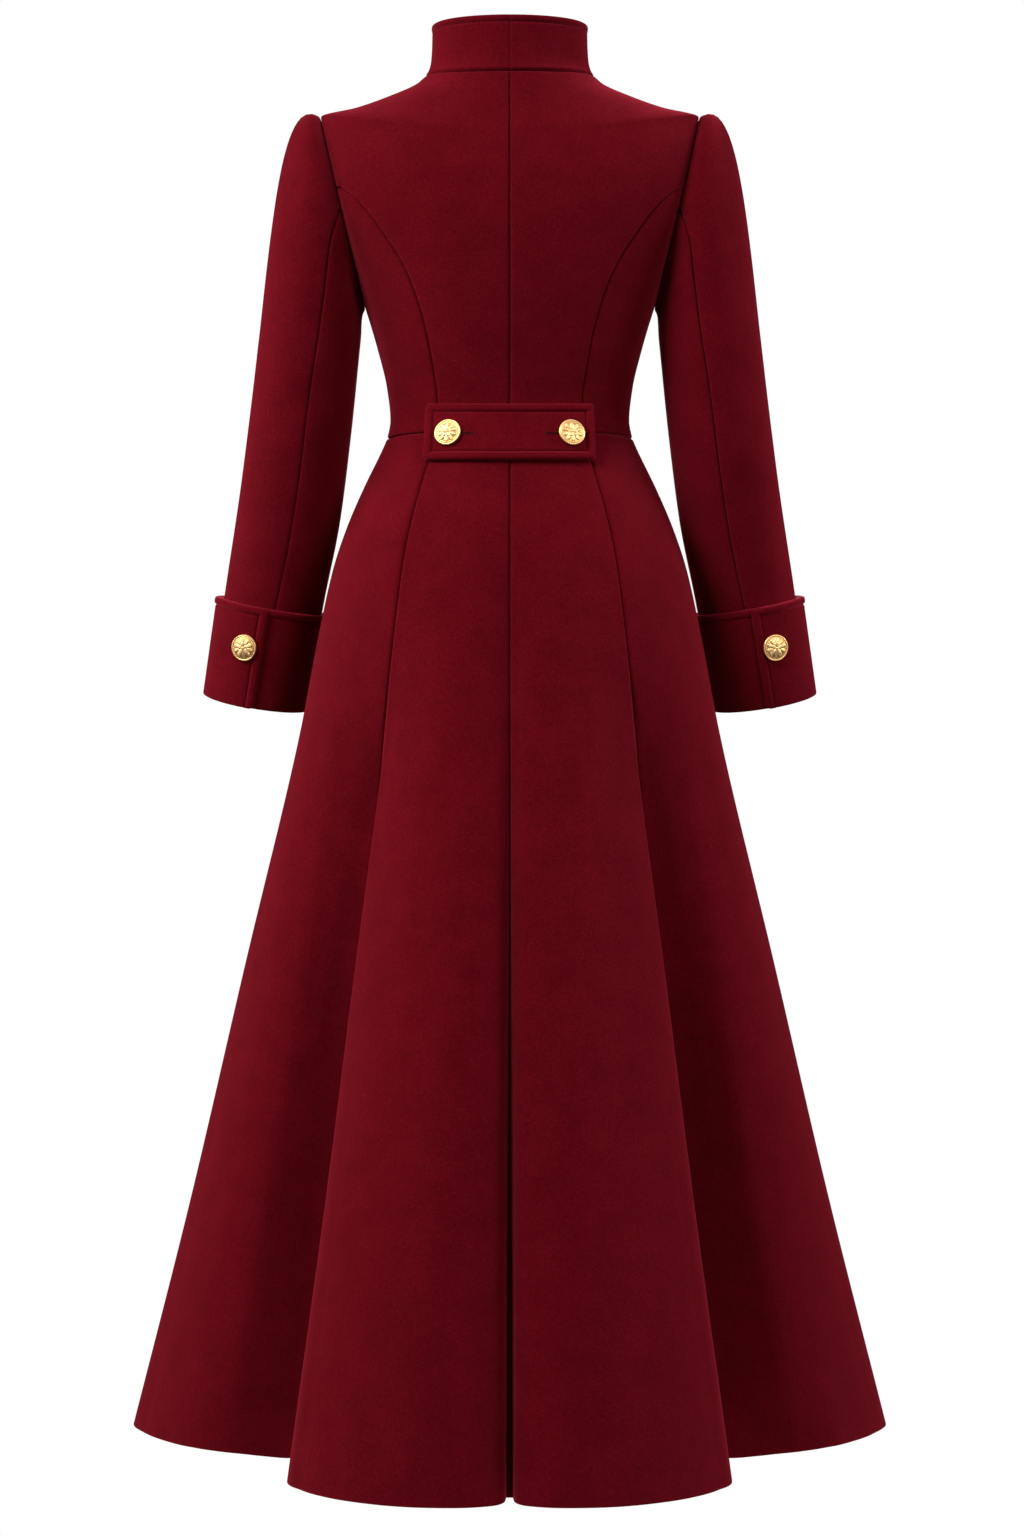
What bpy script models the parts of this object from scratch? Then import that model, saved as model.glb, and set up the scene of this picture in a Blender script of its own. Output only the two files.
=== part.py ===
"""A long princess-line wool coat, modelled as hollow cloth walls with one object for each cut piece.

Metres, +Z up. The coat's front faces -Y and the wearer's left is +X. The origin lies on the middle plane
between the shoulders, level with the neck seam at the centre back.
"""

import math

import bpy
import numpy as np
from mathutils import Matrix

# Wall thickness of each kind of piece, and the clear distance between pieces
CLOTH = 0.0025
COLLAR_CLOTH = 0.0040
CUFF_CLOTH = 0.0035
BELT_CLOTH = 0.0050
SEAM_GAP = 0.0003

# Topstitched border along the edges of the collar, the cuffs and the belt: its width, the width of its
# step down to the field, and how far it stands proud of the field
BORDER = 0.0090
BORDER_STEP = 0.0016
BORDER_RISE = 0.0008

# Heights of the main lines
NECK = 0.009
SHOULDER = -0.033
ARMPIT = -0.235
WAIST = -0.371
HEM = -1.4075

# Front closing: how far each front runs past the centre, and where the lower one sinks under the other
LAP = 0.030
LAP_SINK_START = 0.060
LAP_SINK_END = 0.034
LAP_SINK = COLLAR_CLOTH + BORDER_RISE + 0.0010

# Armhole: half width of its plane at the shoulder and at the armpit
ARMHOLE_TOP = 0.1990
ARMHOLE_FOOT = 0.1516

# Rings of the bodice. A ring dips from its level at the side towards the centre back and front.
# A squareness of 2 is an ellipse.
BODICE_COLUMNS = ("level", "width", "back", "front", "back_dip", "front_dip", "squareness")
BODICE_RINGS = (
    (WAIST, 0.1290, 0.0860, 0.0950, 0.000, 0.000, 2.10),
    (-0.352, 0.1256, 0.0830, 0.0920, 0.000, 0.000, 2.10),
    (-0.319, 0.1290, 0.0865, 0.0990, 0.000, 0.000, 2.15),
    (-0.277, 0.1390, 0.0955, 0.1150, 0.000, 0.000, 2.20),
    (ARMPIT, 0.1516, 0.1020, 0.1260, 0.000, 0.000, 2.20),
    (-0.210, 0.1605, 0.1048, 0.1250, 0.001, 0.002, 2.25),
    (-0.180, 0.1735, 0.1065, 0.1220, 0.003, 0.005, 2.30),
    (-0.150, 0.1855, 0.1075, 0.1150, 0.006, 0.012, 2.35),
    (-0.100, 0.1980, 0.1040, 0.1000, 0.014, 0.030, 2.40),
    (-0.060, 0.2030, 0.0970, 0.0880, 0.024, 0.050, 2.40),
    (SHOULDER, 0.1990, 0.0905, 0.0805, 0.030, 0.062, 2.35),
    (-0.0245, 0.1637, 0.0865, 0.0780, 0.028, 0.064, 2.25),
    (-0.0120, 0.1279, 0.0800, 0.0745, 0.023, 0.067, 2.15),
    (0.0010, 0.0984, 0.0725, 0.0715, 0.013, 0.069, 2.05),
    (NECK, 0.0895, 0.0690, 0.0700, 0.009, 0.070, 2.00),
)

# Rings of the stand collar, by height above the neck seam
COLLAR_COLUMNS = BODICE_COLUMNS
COLLAR_RINGS = (
    (0.0009, 0.0893, 0.0688, 0.0699, 0.009, 0.070, 2.0),
    (0.0060, 0.0858, 0.0662, 0.0682, 0.008, 0.069, 2.0),
    (0.0160, 0.0830, 0.0642, 0.0668, 0.006, 0.068, 2.0),
    (0.0340, 0.0818, 0.0636, 0.0660, 0.004, 0.068, 2.0),
    (0.0545, 0.0815, 0.0638, 0.0655, 0.002, 0.068, 2.0),
)

# Curved princess seam of the back bodice: half width at each height
PRINCESS_COLUMNS = ("height", "width")
PRINCESS_SEAM = (
    (WAIST, 0.0748),
    (-0.342, 0.0755),
    (-0.286, 0.0831),
    (-0.257, 0.0897),
    (-0.235, 0.0963),
    (-0.212, 0.1049),
    (-0.189, 0.1169),
    (-0.168, 0.1307),
    (-0.143, 0.1484),
    (-0.127, 0.1626),
    (-0.112, 0.1806),
)

# Skirt: smooth ring at the hem, and how much of the flare each height has reached
HEM_WIDTH = 0.396
HEM_BACK = 0.345
HEM_FRONT = 0.325
FLARE_COLUMNS = ("height", "share")
SKIRT_FLARE = (
    (HEM, 1.000),
    (-1.1717, 0.7764),
    (-0.9190, 0.5558),
    (-0.6770, 0.3408),
    (-0.5800, 0.2715),
    (-0.5090, 0.2135),
    (-0.4665, 0.1614),
    (-0.4244, 0.0944),
    (-0.3820, 0.0176),
    (WAIST, 0.000),
)

# Folds of the skirt: the line of the hem by turn from the centre back (0) over the side (90) to the
# centre front (180), and the height at which each fold begins
FOLD_COLUMNS = ("turn", "x", "y", "start")
PRINCESS_TURN = 35.2
FOLD_GROWTH = 1.25
HEM_FOLDS = (
    (0.0, 0.0030, 0.3520, -0.50),  # rolled edge of the inverted pleat
    (2.0, 0.0042, 0.3680, -0.50),
    (3.8, 0.0150, 0.3790, -0.50),
    (6.9, 0.0400, 0.3815, -0.50),  # broad lobe of the centre back
    (11.5, 0.0780, 0.3770, -0.50),
    (16.0, 0.1137, 0.3670, -0.50),
    (20.2, 0.1450, 0.3530, -0.50),
    (24.2, 0.1726, 0.3350, -0.52),
    (29.1, 0.2000, 0.3060, -0.54),
    (33.8, 0.2155, 0.2720, -0.58),  # fold edge over the princess seam
    (34.5, 0.2080, 0.2350, -0.58),
    (PRINCESS_TURN, 0.1990, 0.1960, -0.58),
    (40.7, 0.2240, 0.1810, -0.58),  # trough beside the fold
    (46.2, 0.2495, 0.1660, -0.58),
    (59.9, 0.3090, 0.1260, -0.56),
    (70.4, 0.3490, 0.0880, -0.56),
    (79.5, 0.3770, 0.0500, -0.56),
    (90.0, 0.3960, 0.0000, -0.56),  # side seam
    (101.0, 0.3850, -0.0580, -0.60),
    (112.0, 0.3450, -0.1120, -0.60),
    (124.0, 0.2880, -0.1500, -0.60),  # soft trough of the front
    (133.0, 0.2400, -0.1850, -0.60),
    (142.0, 0.2120, -0.2320, -0.60),
    (152.0, 0.1780, -0.2800, -0.60),
    (162.0, 0.1200, -0.3140, -0.60),
    (172.0, 0.0550, -0.3280, -0.60),
    (180.0, 0.0000, -0.3300, -0.60),
)

# Underlay of the inverted pleat: half width and how far it lies behind the lobes
UNDERLAY_COLUMNS = ("height", "width", "depth")
UNDERLAY_SECTIONS = (
    (HEM, 0.095, 0.0360),
    (-1.10, 0.070, 0.0240),
    (-0.85, 0.045, 0.0140),
    (-0.66, 0.022, 0.0065),
)

# Sleeve below its head: centre, half width and half depth of each section
SLEEVE_COLUMNS = ("x", "y", "z", "width", "depth")
SLEEVE_SECTIONS = (
    (0.2104, -0.002, -0.2650, 0.0533, 0.0590),  # upper arm
    (0.2215, -0.010, -0.3600, 0.0542, 0.0580),  # elbow
    (0.2340, -0.028, -0.4454, 0.0547, 0.0565),
    (0.2505, -0.048, -0.5300, 0.0530, 0.0550),
    (0.2705, -0.066, -0.6460, 0.0512, 0.0530),  # wrist
)
HEAD_RISE = 0.20
HEAD_FALL = 0.60
HEAD_OUTWARD = 0.80
HEAD_RADIAL = 0.60

# Seams of the two-piece sleeve, by turn from the outer side (0) over the back (90) to the inner side (180)
SLEEVE_SEAM_COLUMNS = ("along", "back", "front")
SLEEVE_SEAMS = (
    (0.0, 93.0, 250.0),
    (0.4, 101.0, 248.0),
    (1.0, 103.0, 246.0),
    (2.0, 99.0, 245.0),
    (5.0, 95.0, 245.0),
)

# Turned-back cuff: where it starts along the sleeve, how far it stands off, and its lap at the back
CUFF_START = 4.10
CUFF_LENGTH = 0.106
CUFF_GIRTH = 0.366
CUFF_OFF_TOP = 0.0014
CUFF_OFF_FOOT = 0.0009
CUFF_UNDER_END = 52.0
CUFF_OVER_END = 450.0
CUFF_LAP_GAP = 0.0006
CUFF_BUTTON_TURN = 72.0
CUFF_BUTTON_ALONG = 4.49

# Half belt
BELT_TOP = -0.3440
BELT_FOOT = -0.4026
BELT_HALF_TOP = 0.0850
BELT_HALF_FOOT = 0.0870
BELT_CORNER = 0.0050
BELT_OFF = 0.0006
BELT_BUTTON_X = 0.0638

# Domed metal button: radius and height of each step of its turned profile
BUTTON_PROFILE = (
    (0.0122, 0.0000),
    (0.0140, 0.0012),
    (0.0140, 0.0030),
    (0.0132, 0.0039),
    (0.0119, 0.0039),
    (0.0110, 0.0033),
    (0.0070, 0.0045),
)
BUTTON_CROWN = 0.0050
BUTTON_SIDES = 20

# Levels at which the walls have a row, and numbers of columns
BODICE_LEVELS = (
    WAIST + SEAM_GAP / 2, -0.358, BELT_TOP, -0.328, -0.308, -0.284, -0.258, ARMPIT, -0.212, -0.182,
    -0.152, -0.130, -0.095, -0.070, -0.052, -0.042, -0.036, SHOULDER, -0.0290, -0.0245, -0.0120, 0.0010, NECK,
)
SKIRT_LEVELS = (
    HEM, -1.30, -1.18, -1.05, -0.92, -0.80, -0.70, -0.62, -0.56, -0.51, -0.475, -0.445, -0.42, BELT_FOOT,
    -0.385, WAIST - SEAM_GAP / 2,
)
UNDERLAY_LEVELS = (HEM, -1.30, -1.18, -1.05, -0.92, -0.80, -0.70, -0.66)
BACK_COLUMNS = 8
FRONT_COLUMNS = [7, 1, 2]
SKIRT_FRONT_COLUMNS = [12, 1, 2]
HEAD_STEPS = (0.0, 0.06, 0.14, 0.24, 0.36, 0.5, 0.66, 0.83)
ARM_STEPS = (1.0, 1.5, 2.0, 2.5, 3.0, 3.5, 4.0, 5.0)
CUFF_FIELD_STEPS = (4.45, 4.72, 5.0)
CUFF_COLUMNS = 30
BELT_COLUMNS = 9

# Colour, roughness and metallic value of each material
FINISHES = {
    "wool": ((0.125, 0.0035, 0.0090, 1.0), 0.92, 0.0),
    "brass": ((0.760, 0.500, 0.220, 1.0), 0.28, 1.0),
}


def column(columns, rows, name):
    """One named column of a table."""
    return np.array([row[columns.index(name)] for row in rows], float)


def smooth_curve(knots, values, at):
    """Monotone cubic through the knots, which never overshoots between them."""
    order = np.argsort(knots)
    knots = knots[order]
    values = values[order]
    step = np.diff(knots)
    slope = np.diff(values) / step
    product = slope[:-1] * slope[1:]
    mean = np.divide(2 * product, slope[:-1] + slope[1:], out=np.zeros_like(product), where=product > 0)
    tangent = np.concatenate([slope[:1], mean, slope[-1:]])
    place = np.clip(np.searchsorted(knots, at, side="right") - 1, 0, len(step) - 1)
    t = (at - knots[place]) / step[place]
    rise = values[place + 1] - values[place]
    first = tangent[place] * step[place]
    last = tangent[place + 1] * step[place]
    return values[place] + t * first + t * t * ((3 - 2 * t) * rise - (2 - t) * first - (1 - t) * last)


def look_up(columns, rows, name, at):
    """Smooth value of a named column, found by the table's first column."""
    return smooth_curve(column(columns, rows, columns[0]), column(columns, rows, name), np.asarray(at, float))


def smooth_step(value):
    value = np.clip(value, 0.0, 1.0)
    return value * value * (3 - 2 * value)


def unit(vectors):
    return vectors / np.linalg.norm(vectors, axis=-1, keepdims=True)


def half_turn(turn):
    """A turn folded onto the left half of the coat, and the side (1 or -1) that it came from."""
    wrapped = np.mod(turn, 360.0)
    return np.where(wrapped > 180, 360 - wrapped, wrapped), np.where(wrapped > 180, -1.0, 1.0)


def oval(turn, squareness):
    """Shares of half width and of back or front reach at a turn round a ring."""
    folded, side = half_turn(turn)
    across = np.clip(np.sin(np.radians(folded)), 0, 1) ** (2 / squareness)
    along = np.cos(np.radians(folded))
    return side * across, np.sign(along) * np.abs(along) ** (2 / squareness)


def table_ring(columns, rows, turn, level, base):
    """Point of a ring that is worked out from a table of rings."""
    value = {name: look_up(columns, rows, name, level) for name in columns[1:]}
    across, along = oval(turn, value["squareness"])
    reach = np.where(along > 0, value["back"], value["front"])
    dip = np.where(along > 0, value["back_dip"], value["front_dip"])
    return np.stack([value["width"] * across, reach * along, base + level - dip * along**2], axis=-1)


def bodice(turn, level):
    return table_ring(BODICE_COLUMNS, BODICE_RINGS, turn, level, 0.0)


def collar(turn, rise):
    return table_ring(COLLAR_COLUMNS, COLLAR_RINGS, turn, rise, NECK)


def skirt(turn, level):
    """Point of the skirt: a flaring oval with the folds growing towards the hem."""
    waist_row = BODICE_RINGS[0]
    share = look_up(FLARE_COLUMNS, SKIRT_FLARE, "share", level)
    width = waist_row[1] + share * (HEM_WIDTH - waist_row[1])
    back = waist_row[2] + share * (HEM_BACK - waist_row[2])
    front = waist_row[3] + share * (HEM_FRONT - waist_row[3])
    squareness = waist_row[6] + share * (2 - waist_row[6])
    across, along = oval(turn, squareness)
    folded, side = half_turn(turn)
    hem_across, hem_along = oval(folded, 2.0)
    fold_x = look_up(FOLD_COLUMNS, HEM_FOLDS, "x", folded) - HEM_WIDTH * hem_across
    fold_y = look_up(FOLD_COLUMNS, HEM_FOLDS, "y", folded)
    fold_y = fold_y - np.where(hem_along > 0, HEM_BACK, HEM_FRONT) * hem_along
    start = look_up(FOLD_COLUMNS, HEM_FOLDS, "start", folded)
    growth = np.clip((start - level) / (start - HEM), 0, 1) ** FOLD_GROWTH
    x = width * across + side * fold_x * growth
    y = np.where(along > 0, back, front) * along + fold_y * growth
    return np.stack([x, y, level + 0 * x], axis=-1)


def armhole_width(height):
    """Half width of the slanted armhole plane at a height."""
    share = (height - ARMPIT) / (SHOULDER - ARMPIT)
    return ARMHOLE_FOOT + share * (ARMHOLE_TOP - ARMHOLE_FOOT)


def princess_width(height):
    return look_up(PRINCESS_COLUMNS, PRINCESS_SEAM, "width", height)


def turn_where(surface, level, width_at, start, end):
    """Turn between start and end at which the surface crosses a half width given by height."""
    low = np.full(np.shape(level), float(start))
    high = np.full(np.shape(level), float(end))
    for _ in range(44):
        middle = (low + high) / 2
        point = surface(middle, level)
        inside = point[..., 0] < width_at(point[..., 2])
        low = np.where(inside, middle, low)
        high = np.where(inside, high, middle)
    return (low + high) / 2


def outward(surface, turn, level, step_turn=0.05, step_level=1e-4):
    """Unit normals of a surface, pointing away from the wearer."""
    around = surface(turn + step_turn, level) - surface(turn - step_turn, level)
    upward = surface(turn, level + step_level) - surface(turn, level - step_level)
    return unit(np.cross(upward, around))


def clear_of_seam(surface, turn, level, distance):
    """Turn moved square to a seam by a distance, to leave the gap of that seam."""
    around = (surface(turn + 0.05, level) - surface(turn - 0.05, level)) / 0.1
    along = np.gradient(surface(turn, level), axis=0)
    square = np.linalg.norm(np.cross(unit(around), unit(along)), axis=-1)
    return turn + distance / (np.linalg.norm(around, axis=-1) * np.maximum(square, 0.4))


def patch(surface, guides, counts, levels):
    """Points and normals of a panel, a row for each level, with columns spread between guide lines.

    The first and the last guide line are seams, and each keeps half of a seam's gap.
    """
    guides = [guide + np.zeros_like(levels) for guide in guides]
    guides[0] = clear_of_seam(surface, guides[0], levels, SEAM_GAP / 2)
    guides[-1] = clear_of_seam(surface, guides[-1], levels, -SEAM_GAP / 2)
    columns = [guides[0]]
    for before, after, count in zip(guides[:-1], guides[1:], counts):
        columns += [before + (after - before) * place / count for place in range(1, count + 1)]
    turn = np.stack(columns, axis=1)
    level = np.repeat(levels[:, None], turn.shape[1], axis=1)
    return surface(turn, level), outward(surface, turn, level)


def sink_under_lap(points, normals):
    """Lets the lower front sink where the other front laps over it."""
    share = smooth_step((LAP_SINK_START - points[..., 0]) / (LAP_SINK_START - LAP_SINK_END))
    front = points[..., 1] < 0
    return points - normals * (LAP_SINK * share * front)[..., None]


def lap_guides(surface, levels):
    """Turns of the lines where the lower front begins and ends sinking, and of the front edge."""
    lines = (LAP_SINK_START, LAP_SINK_END, -LAP)
    return [turn_where(surface, levels, lambda height, x=x: x + 0 * height, 230, 100) for x in lines]


def grid_faces(rows, columns, start, flip):
    """Quads of a grid of points that begins at a vertex number."""
    faces = []
    for row in range(rows - 1):
        for place in range(columns - 1):
            corner = start + row * columns + place
            face = (corner, corner + 1, corner + columns + 1, corner + columns)
            faces.append(face[::-1] if flip else face)
    return faces


def rim_faces(rows, columns):
    """Quads that close the four edges between an outer grid and the inner grid behind it."""
    top = [(rows - 1) * columns + place for place in range(columns)]
    foot = list(range(columns))
    left = [row * columns for row in range(rows)]
    right = [row * columns + columns - 1 for row in range(rows)]
    loop = foot + right[1:] + top[::-1][1:] + left[::-1][1:]
    behind = rows * columns
    pairs = zip(loop[:-1], loop[1:])
    return [(a, a + behind, b + behind, b) for a, b in pairs]


def border_rise(distance):
    """Height of the topstitched border over the field, by distance from its edge."""
    return BORDER_RISE * smooth_step((BORDER + BORDER_STEP - distance) / BORDER_STEP)


def wall_mesh(outer, normals, thickness, raised):
    """Vertices and faces of a closed wall whose outer face is a grid of points, raised over a plain inside."""
    rows, columns = outer.shape[:2]
    inner = outer - normals * thickness
    outer = outer + normals * raised
    vertices = np.concatenate([outer.reshape(-1, 3), inner.reshape(-1, 3)])
    across = outer[:, 1:] - outer[:, :-1]
    upward = outer[1:] - outer[:-1]
    facing = (np.cross(across[:-1], upward[:, :-1]) * normals[:-1, :-1]).sum()
    faces = grid_faces(rows, columns, 0, False) + grid_faces(rows, columns, rows * columns, True)
    faces += rim_faces(rows, columns)
    if facing < 0:
        faces = [face[::-1] for face in faces]
    return vertices, faces


def material_for(name, finish):
    colour, roughness, metallic = FINISHES[finish]
    material = bpy.data.materials.new(f"{name}_{finish}")
    material.use_nodes = True
    shader = material.node_tree.nodes["Principled BSDF"]
    shader.inputs["Base Color"].default_value = colour
    shader.inputs["Roughness"].default_value = roughness
    shader.inputs["Metallic"].default_value = metallic
    return material


def add_object(name, vertices, faces, finish, root):
    mesh = bpy.data.meshes.new(name)
    mesh.from_pydata([tuple(map(float, vertex)) for vertex in vertices], [], faces)
    mesh.shade_smooth()
    mesh.set_sharp_from_angle(angle=math.radians(40))
    mesh.materials.append(material_for(name, finish))
    piece = bpy.data.objects.new(name, mesh)
    bpy.context.scene.collection.objects.link(piece)
    piece.parent = root
    return piece


def add_wall(name, outer, normals, thickness, root, raised=0.0, mirrored=False):
    """Adds a cloth wall; a mirrored one is its twin on the wearer's right."""
    vertices, faces = wall_mesh(outer, normals, thickness, raised)
    if mirrored:
        vertices = vertices * np.array([-1.0, 1.0, 1.0])
        faces = [face[::-1] for face in faces]
    return add_object(name, vertices, faces, "wool", root)


def add_pair(name, outer, normals, thickness, root, raised=0.0):
    add_wall(f"{name}_left", outer, normals, thickness, root, raised)
    add_wall(f"{name}_right", outer, normals, thickness, root, raised, mirrored=True)


def add_lapped_pair(name, outer, normals, thickness, root, raised=0.0):
    """A pair whose right piece laps over the left one at the centre front."""
    under = sink_under_lap(outer, normals)
    add_wall(f"{name}_left", under, normals, thickness, root, raised)
    add_wall(f"{name}_right", outer, normals, thickness, root, raised, mirrored=True)


def bodice_edges(levels):
    """Turns of the princess seam and of the armhole's back and front edges at each level."""
    princess = turn_where(bodice, levels, princess_width, 0, 90)
    back = turn_where(bodice, levels, armhole_width, 0, 90)
    front = turn_where(bodice, levels, armhole_width, 180, 90)
    open_level = (levels > ARMPIT) & (levels < SHOULDER)
    return princess, np.where(open_level, back, 90.0), np.where(open_level, front, 90.0)


def princess_top():
    """Level at which the princess seam runs into the armhole."""
    low, high = -0.16, -0.06
    for _ in range(40):
        middle = (low + high) / 2
        princess, armhole, _ = bodice_edges(np.array([middle]))
        low, high = (middle, high) if princess[0] < armhole[0] else (low, middle)
    return low


def add_bodice(root):
    corner = princess_top()
    levels = np.array(sorted(BODICE_LEVELS + (corner, corner - 0.0025)))
    princess, armhole_back, armhole_front = bodice_edges(levels)
    back_edge = np.where(levels < corner, np.minimum(princess, armhole_back), armhole_back)
    add_pair("back_bodice", *patch(bodice, [0.0, back_edge], [BACK_COLUMNS], levels), CLOTH, root)
    low = levels < corner - 0.002
    side = patch(bodice, [princess[low], armhole_back[low]], [5], levels[low])
    add_pair("side_back_bodice", *side, CLOTH, root)
    guides = [armhole_front] + lap_guides(bodice, levels)
    add_lapped_pair("front_bodice", *patch(bodice, guides, FRONT_COLUMNS, levels), CLOTH, root)


def fold_guides(first, last):
    """Turns of the fold table between two seams, and the number of columns from each to the next."""
    turns = [row[0] for row in HEM_FOLDS if first <= row[0] <= last]
    widths = np.diff(turns)
    return turns, [2 if width > 7 else 1 for width in widths]


def add_skirt(root):
    levels = np.array(SKIRT_LEVELS)
    back = patch(skirt, *fold_guides(0.0, PRINCESS_TURN), levels)
    add_pair("back_skirt", *back, CLOTH, root)
    side_back = patch(skirt, *fold_guides(PRINCESS_TURN, 90.0), levels)
    add_pair("side_back_skirt", *side_back, CLOTH, root)
    front = patch(skirt, [90.0] + lap_guides(skirt, levels), SKIRT_FRONT_COLUMNS, levels)
    add_lapped_pair("front_skirt", *front, CLOTH, root)


def underlay(share, level):
    """Point of the pleat's underlay, which hangs behind the lobes of the back skirt."""
    width = look_up(UNDERLAY_COLUMNS, UNDERLAY_SECTIONS, "width", level)
    depth = look_up(UNDERLAY_COLUMNS, UNDERLAY_SECTIONS, "depth", level)
    x = share * width
    lobe_turn = turn_where(skirt, level, lambda height: np.maximum(np.abs(x), width * 0.35), 0, 33.0)
    lobe = skirt(lobe_turn, level)[..., 1]
    behind = CLOTH * 1.45 + SEAM_GAP + depth * np.cos(np.pi / 2 * share) ** 2
    return np.stack([x, lobe - behind, level + 0 * x], axis=-1)


def add_underlay(root):
    levels = np.array(UNDERLAY_LEVELS)
    share, level = np.meshgrid(np.linspace(-1, 1, 11), levels)
    normals = outward(underlay, share, level, step_turn=0.01)
    add_wall("pleat_underlay", underlay(share, level), normals, CLOTH, root)


def armhole_loop():
    """Turns and points round the armhole: 0 at the shoulder, 90 at the back, 180 at the armpit."""
    levels = np.linspace(ARMPIT, SHOULDER, 241)[1:-1]
    _, back_edge, front_edge_turn = bodice_edges(levels)
    foot = bodice(np.array([90.0]), np.array([ARMPIT]))
    top = bodice(np.array([90.0]), np.array([SHOULDER]))
    loop = [top, bodice(back_edge, levels)[::-1], foot, bodice(front_edge_turn, levels)]
    points = np.concatenate(loop)
    middle = (ARMPIT + SHOULDER) / 2
    turns = np.mod(np.degrees(np.arctan2(points[:, 1], points[:, 2] - middle)), 360.0)
    turns[0] = 0.0
    order = np.argsort(turns)
    turns = np.append(turns[order], 360.0)
    return turns, np.concatenate([points[order], points[order][:1]])


ARMHOLE_TURNS, ARMHOLE_POINTS = armhole_loop()
ARMHOLE_LEAN = (ARMHOLE_TOP - ARMHOLE_FOOT) / (SHOULDER - ARMPIT)


def armhole_point(turn):
    """Point of the armhole, moved out of its plane by the gap of the seam."""
    wrapped = np.mod(turn, 360.0)
    point = [np.interp(wrapped, ARMHOLE_TURNS, ARMHOLE_POINTS[:, axis]) for axis in range(3)]
    away = unit(np.array([1.0, 0.0, -ARMHOLE_LEAN]))
    return np.stack(point, axis=-1) + away * SEAM_GAP


def sleeve_value(name, along):
    values = column(SLEEVE_COLUMNS, SLEEVE_SECTIONS, name)
    return smooth_curve(np.arange(1.0, len(values) + 1), values, along)


def sleeve_axis(along):
    """Centre of the sleeve and its direction down the arm."""
    centre = np.stack([sleeve_value(name, along) for name in "xyz"], axis=-1)
    after = np.stack([sleeve_value(name, along + 0.02) for name in "xyz"], axis=-1)
    before = np.stack([sleeve_value(name, along - 0.02) for name in "xyz"], axis=-1)
    return centre, unit(after - before)


def arm_ring(turn, along):
    """Point of the sleeve below its head."""
    centre, axis = sleeve_axis(along)
    side = np.zeros_like(axis)
    side[..., 0] = 1.0
    out = unit(side - axis * axis[..., :1])
    back = np.cross(out, axis)
    angle = np.radians(turn)
    width = (sleeve_value("width", along) * np.cos(angle))[..., None]
    depth = (sleeve_value("depth", along) * np.sin(angle))[..., None]
    return centre + out * width + back * depth


def sleeve(turn, along):
    """Point of the sleeve: its head from 0 (armhole) to 1, then the arm down to the wrist."""
    turn, along = np.broadcast_arrays(np.asarray(turn, float), np.asarray(along, float))
    start = armhole_point(turn)
    low = np.maximum(along, 1.0)
    below = arm_ring(turn, low)
    end = arm_ring(turn, np.ones_like(along))
    length = np.linalg.norm(end - start, axis=-1, keepdims=True)
    angle = np.radians(turn)
    radial = np.stack([0 * angle, np.sin(angle), np.cos(angle)], axis=-1)
    rise = unit(HEAD_OUTWARD * np.array([1.0, 0.0, 0.0]) + HEAD_RADIAL * radial)
    first = start + rise * length * HEAD_RISE
    last = end - sleeve_axis(np.ones_like(along))[1] * length * HEAD_FALL
    t = np.clip(along, 0.0, 1.0)[..., None]
    head = start * (1 - t) ** 3 + first * 3 * t * (1 - t) ** 2 + last * 3 * t * t * (1 - t) + end * t**3
    return np.where(t < 1, head, below)


def add_sleeves(root):
    steps = np.array(HEAD_STEPS + ARM_STEPS)
    back = look_up(SLEEVE_SEAM_COLUMNS, SLEEVE_SEAMS, "back", steps)
    front = look_up(SLEEVE_SEAM_COLUMNS, SLEEVE_SEAMS, "front", steps)
    add_pair("upper_sleeve", *patch(sleeve, [front - 360, back], [14], steps), CLOTH, root)
    add_pair("under_sleeve", *patch(sleeve, [back, front], [9], steps), CLOTH, root)


def cuff(turn, along):
    """Point of the cuff's outer face: the sleeve moved out, winding onto itself towards its lap."""
    share = (along - CUFF_START) / (5.0 - CUFF_START)
    stand_off = CUFF_OFF_TOP + share * (CUFF_OFF_FOOT - CUFF_OFF_TOP)
    wind = smooth_step((turn - CUFF_UNDER_END - 45) / (CUFF_OVER_END - 45 - CUFF_UNDER_END - 45))
    off = stand_off + CUFF_CLOTH + wind * (CUFF_CLOTH + CUFF_LAP_GAP)
    return sleeve(turn, along) + outward(sleeve, turn, along) * off[..., None]


def add_cuffs(root):
    """Cuffs with a border along the top edge and along the edge of the lap."""
    border = np.array([0.0, BORDER, BORDER + BORDER_STEP])
    top = CUFF_START + border * (5.0 - CUFF_START) / CUFF_LENGTH
    lap = CUFF_OVER_END - border[::-1] * 360 / CUFF_GIRTH
    turns = np.concatenate([np.linspace(CUFF_UNDER_END, lap[0], CUFF_COLUMNS), lap[1:]])
    turn, along = np.meshgrid(turns, np.concatenate([top, CUFF_FIELD_STEPS]))
    from_top = (along - CUFF_START) * CUFF_LENGTH / (5.0 - CUFF_START)
    from_lap = (CUFF_OVER_END - turn) * CUFF_GIRTH / 360
    raised = border_rise(np.minimum(from_top, from_lap))[..., None]
    add_pair("cuff", cuff(turn, along), outward(cuff, turn, along), CUFF_CLOTH, root, raised)


def add_collar(root):
    rises = column(COLLAR_COLUMNS, COLLAR_RINGS, "level")
    top = rises[-1]
    rises = np.sort(np.append(rises, [top - BORDER, top - BORDER - BORDER_STEP]))
    guides = [0.0, 90.0] + lap_guides(collar, rises)
    points, normals = patch(collar, guides, [BACK_COLUMNS] + FRONT_COLUMNS, rises)
    raised = border_rise(top - rises)[:, None, None]
    add_lapped_pair("collar", points, normals, COLLAR_CLOTH, root, raised)


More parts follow.
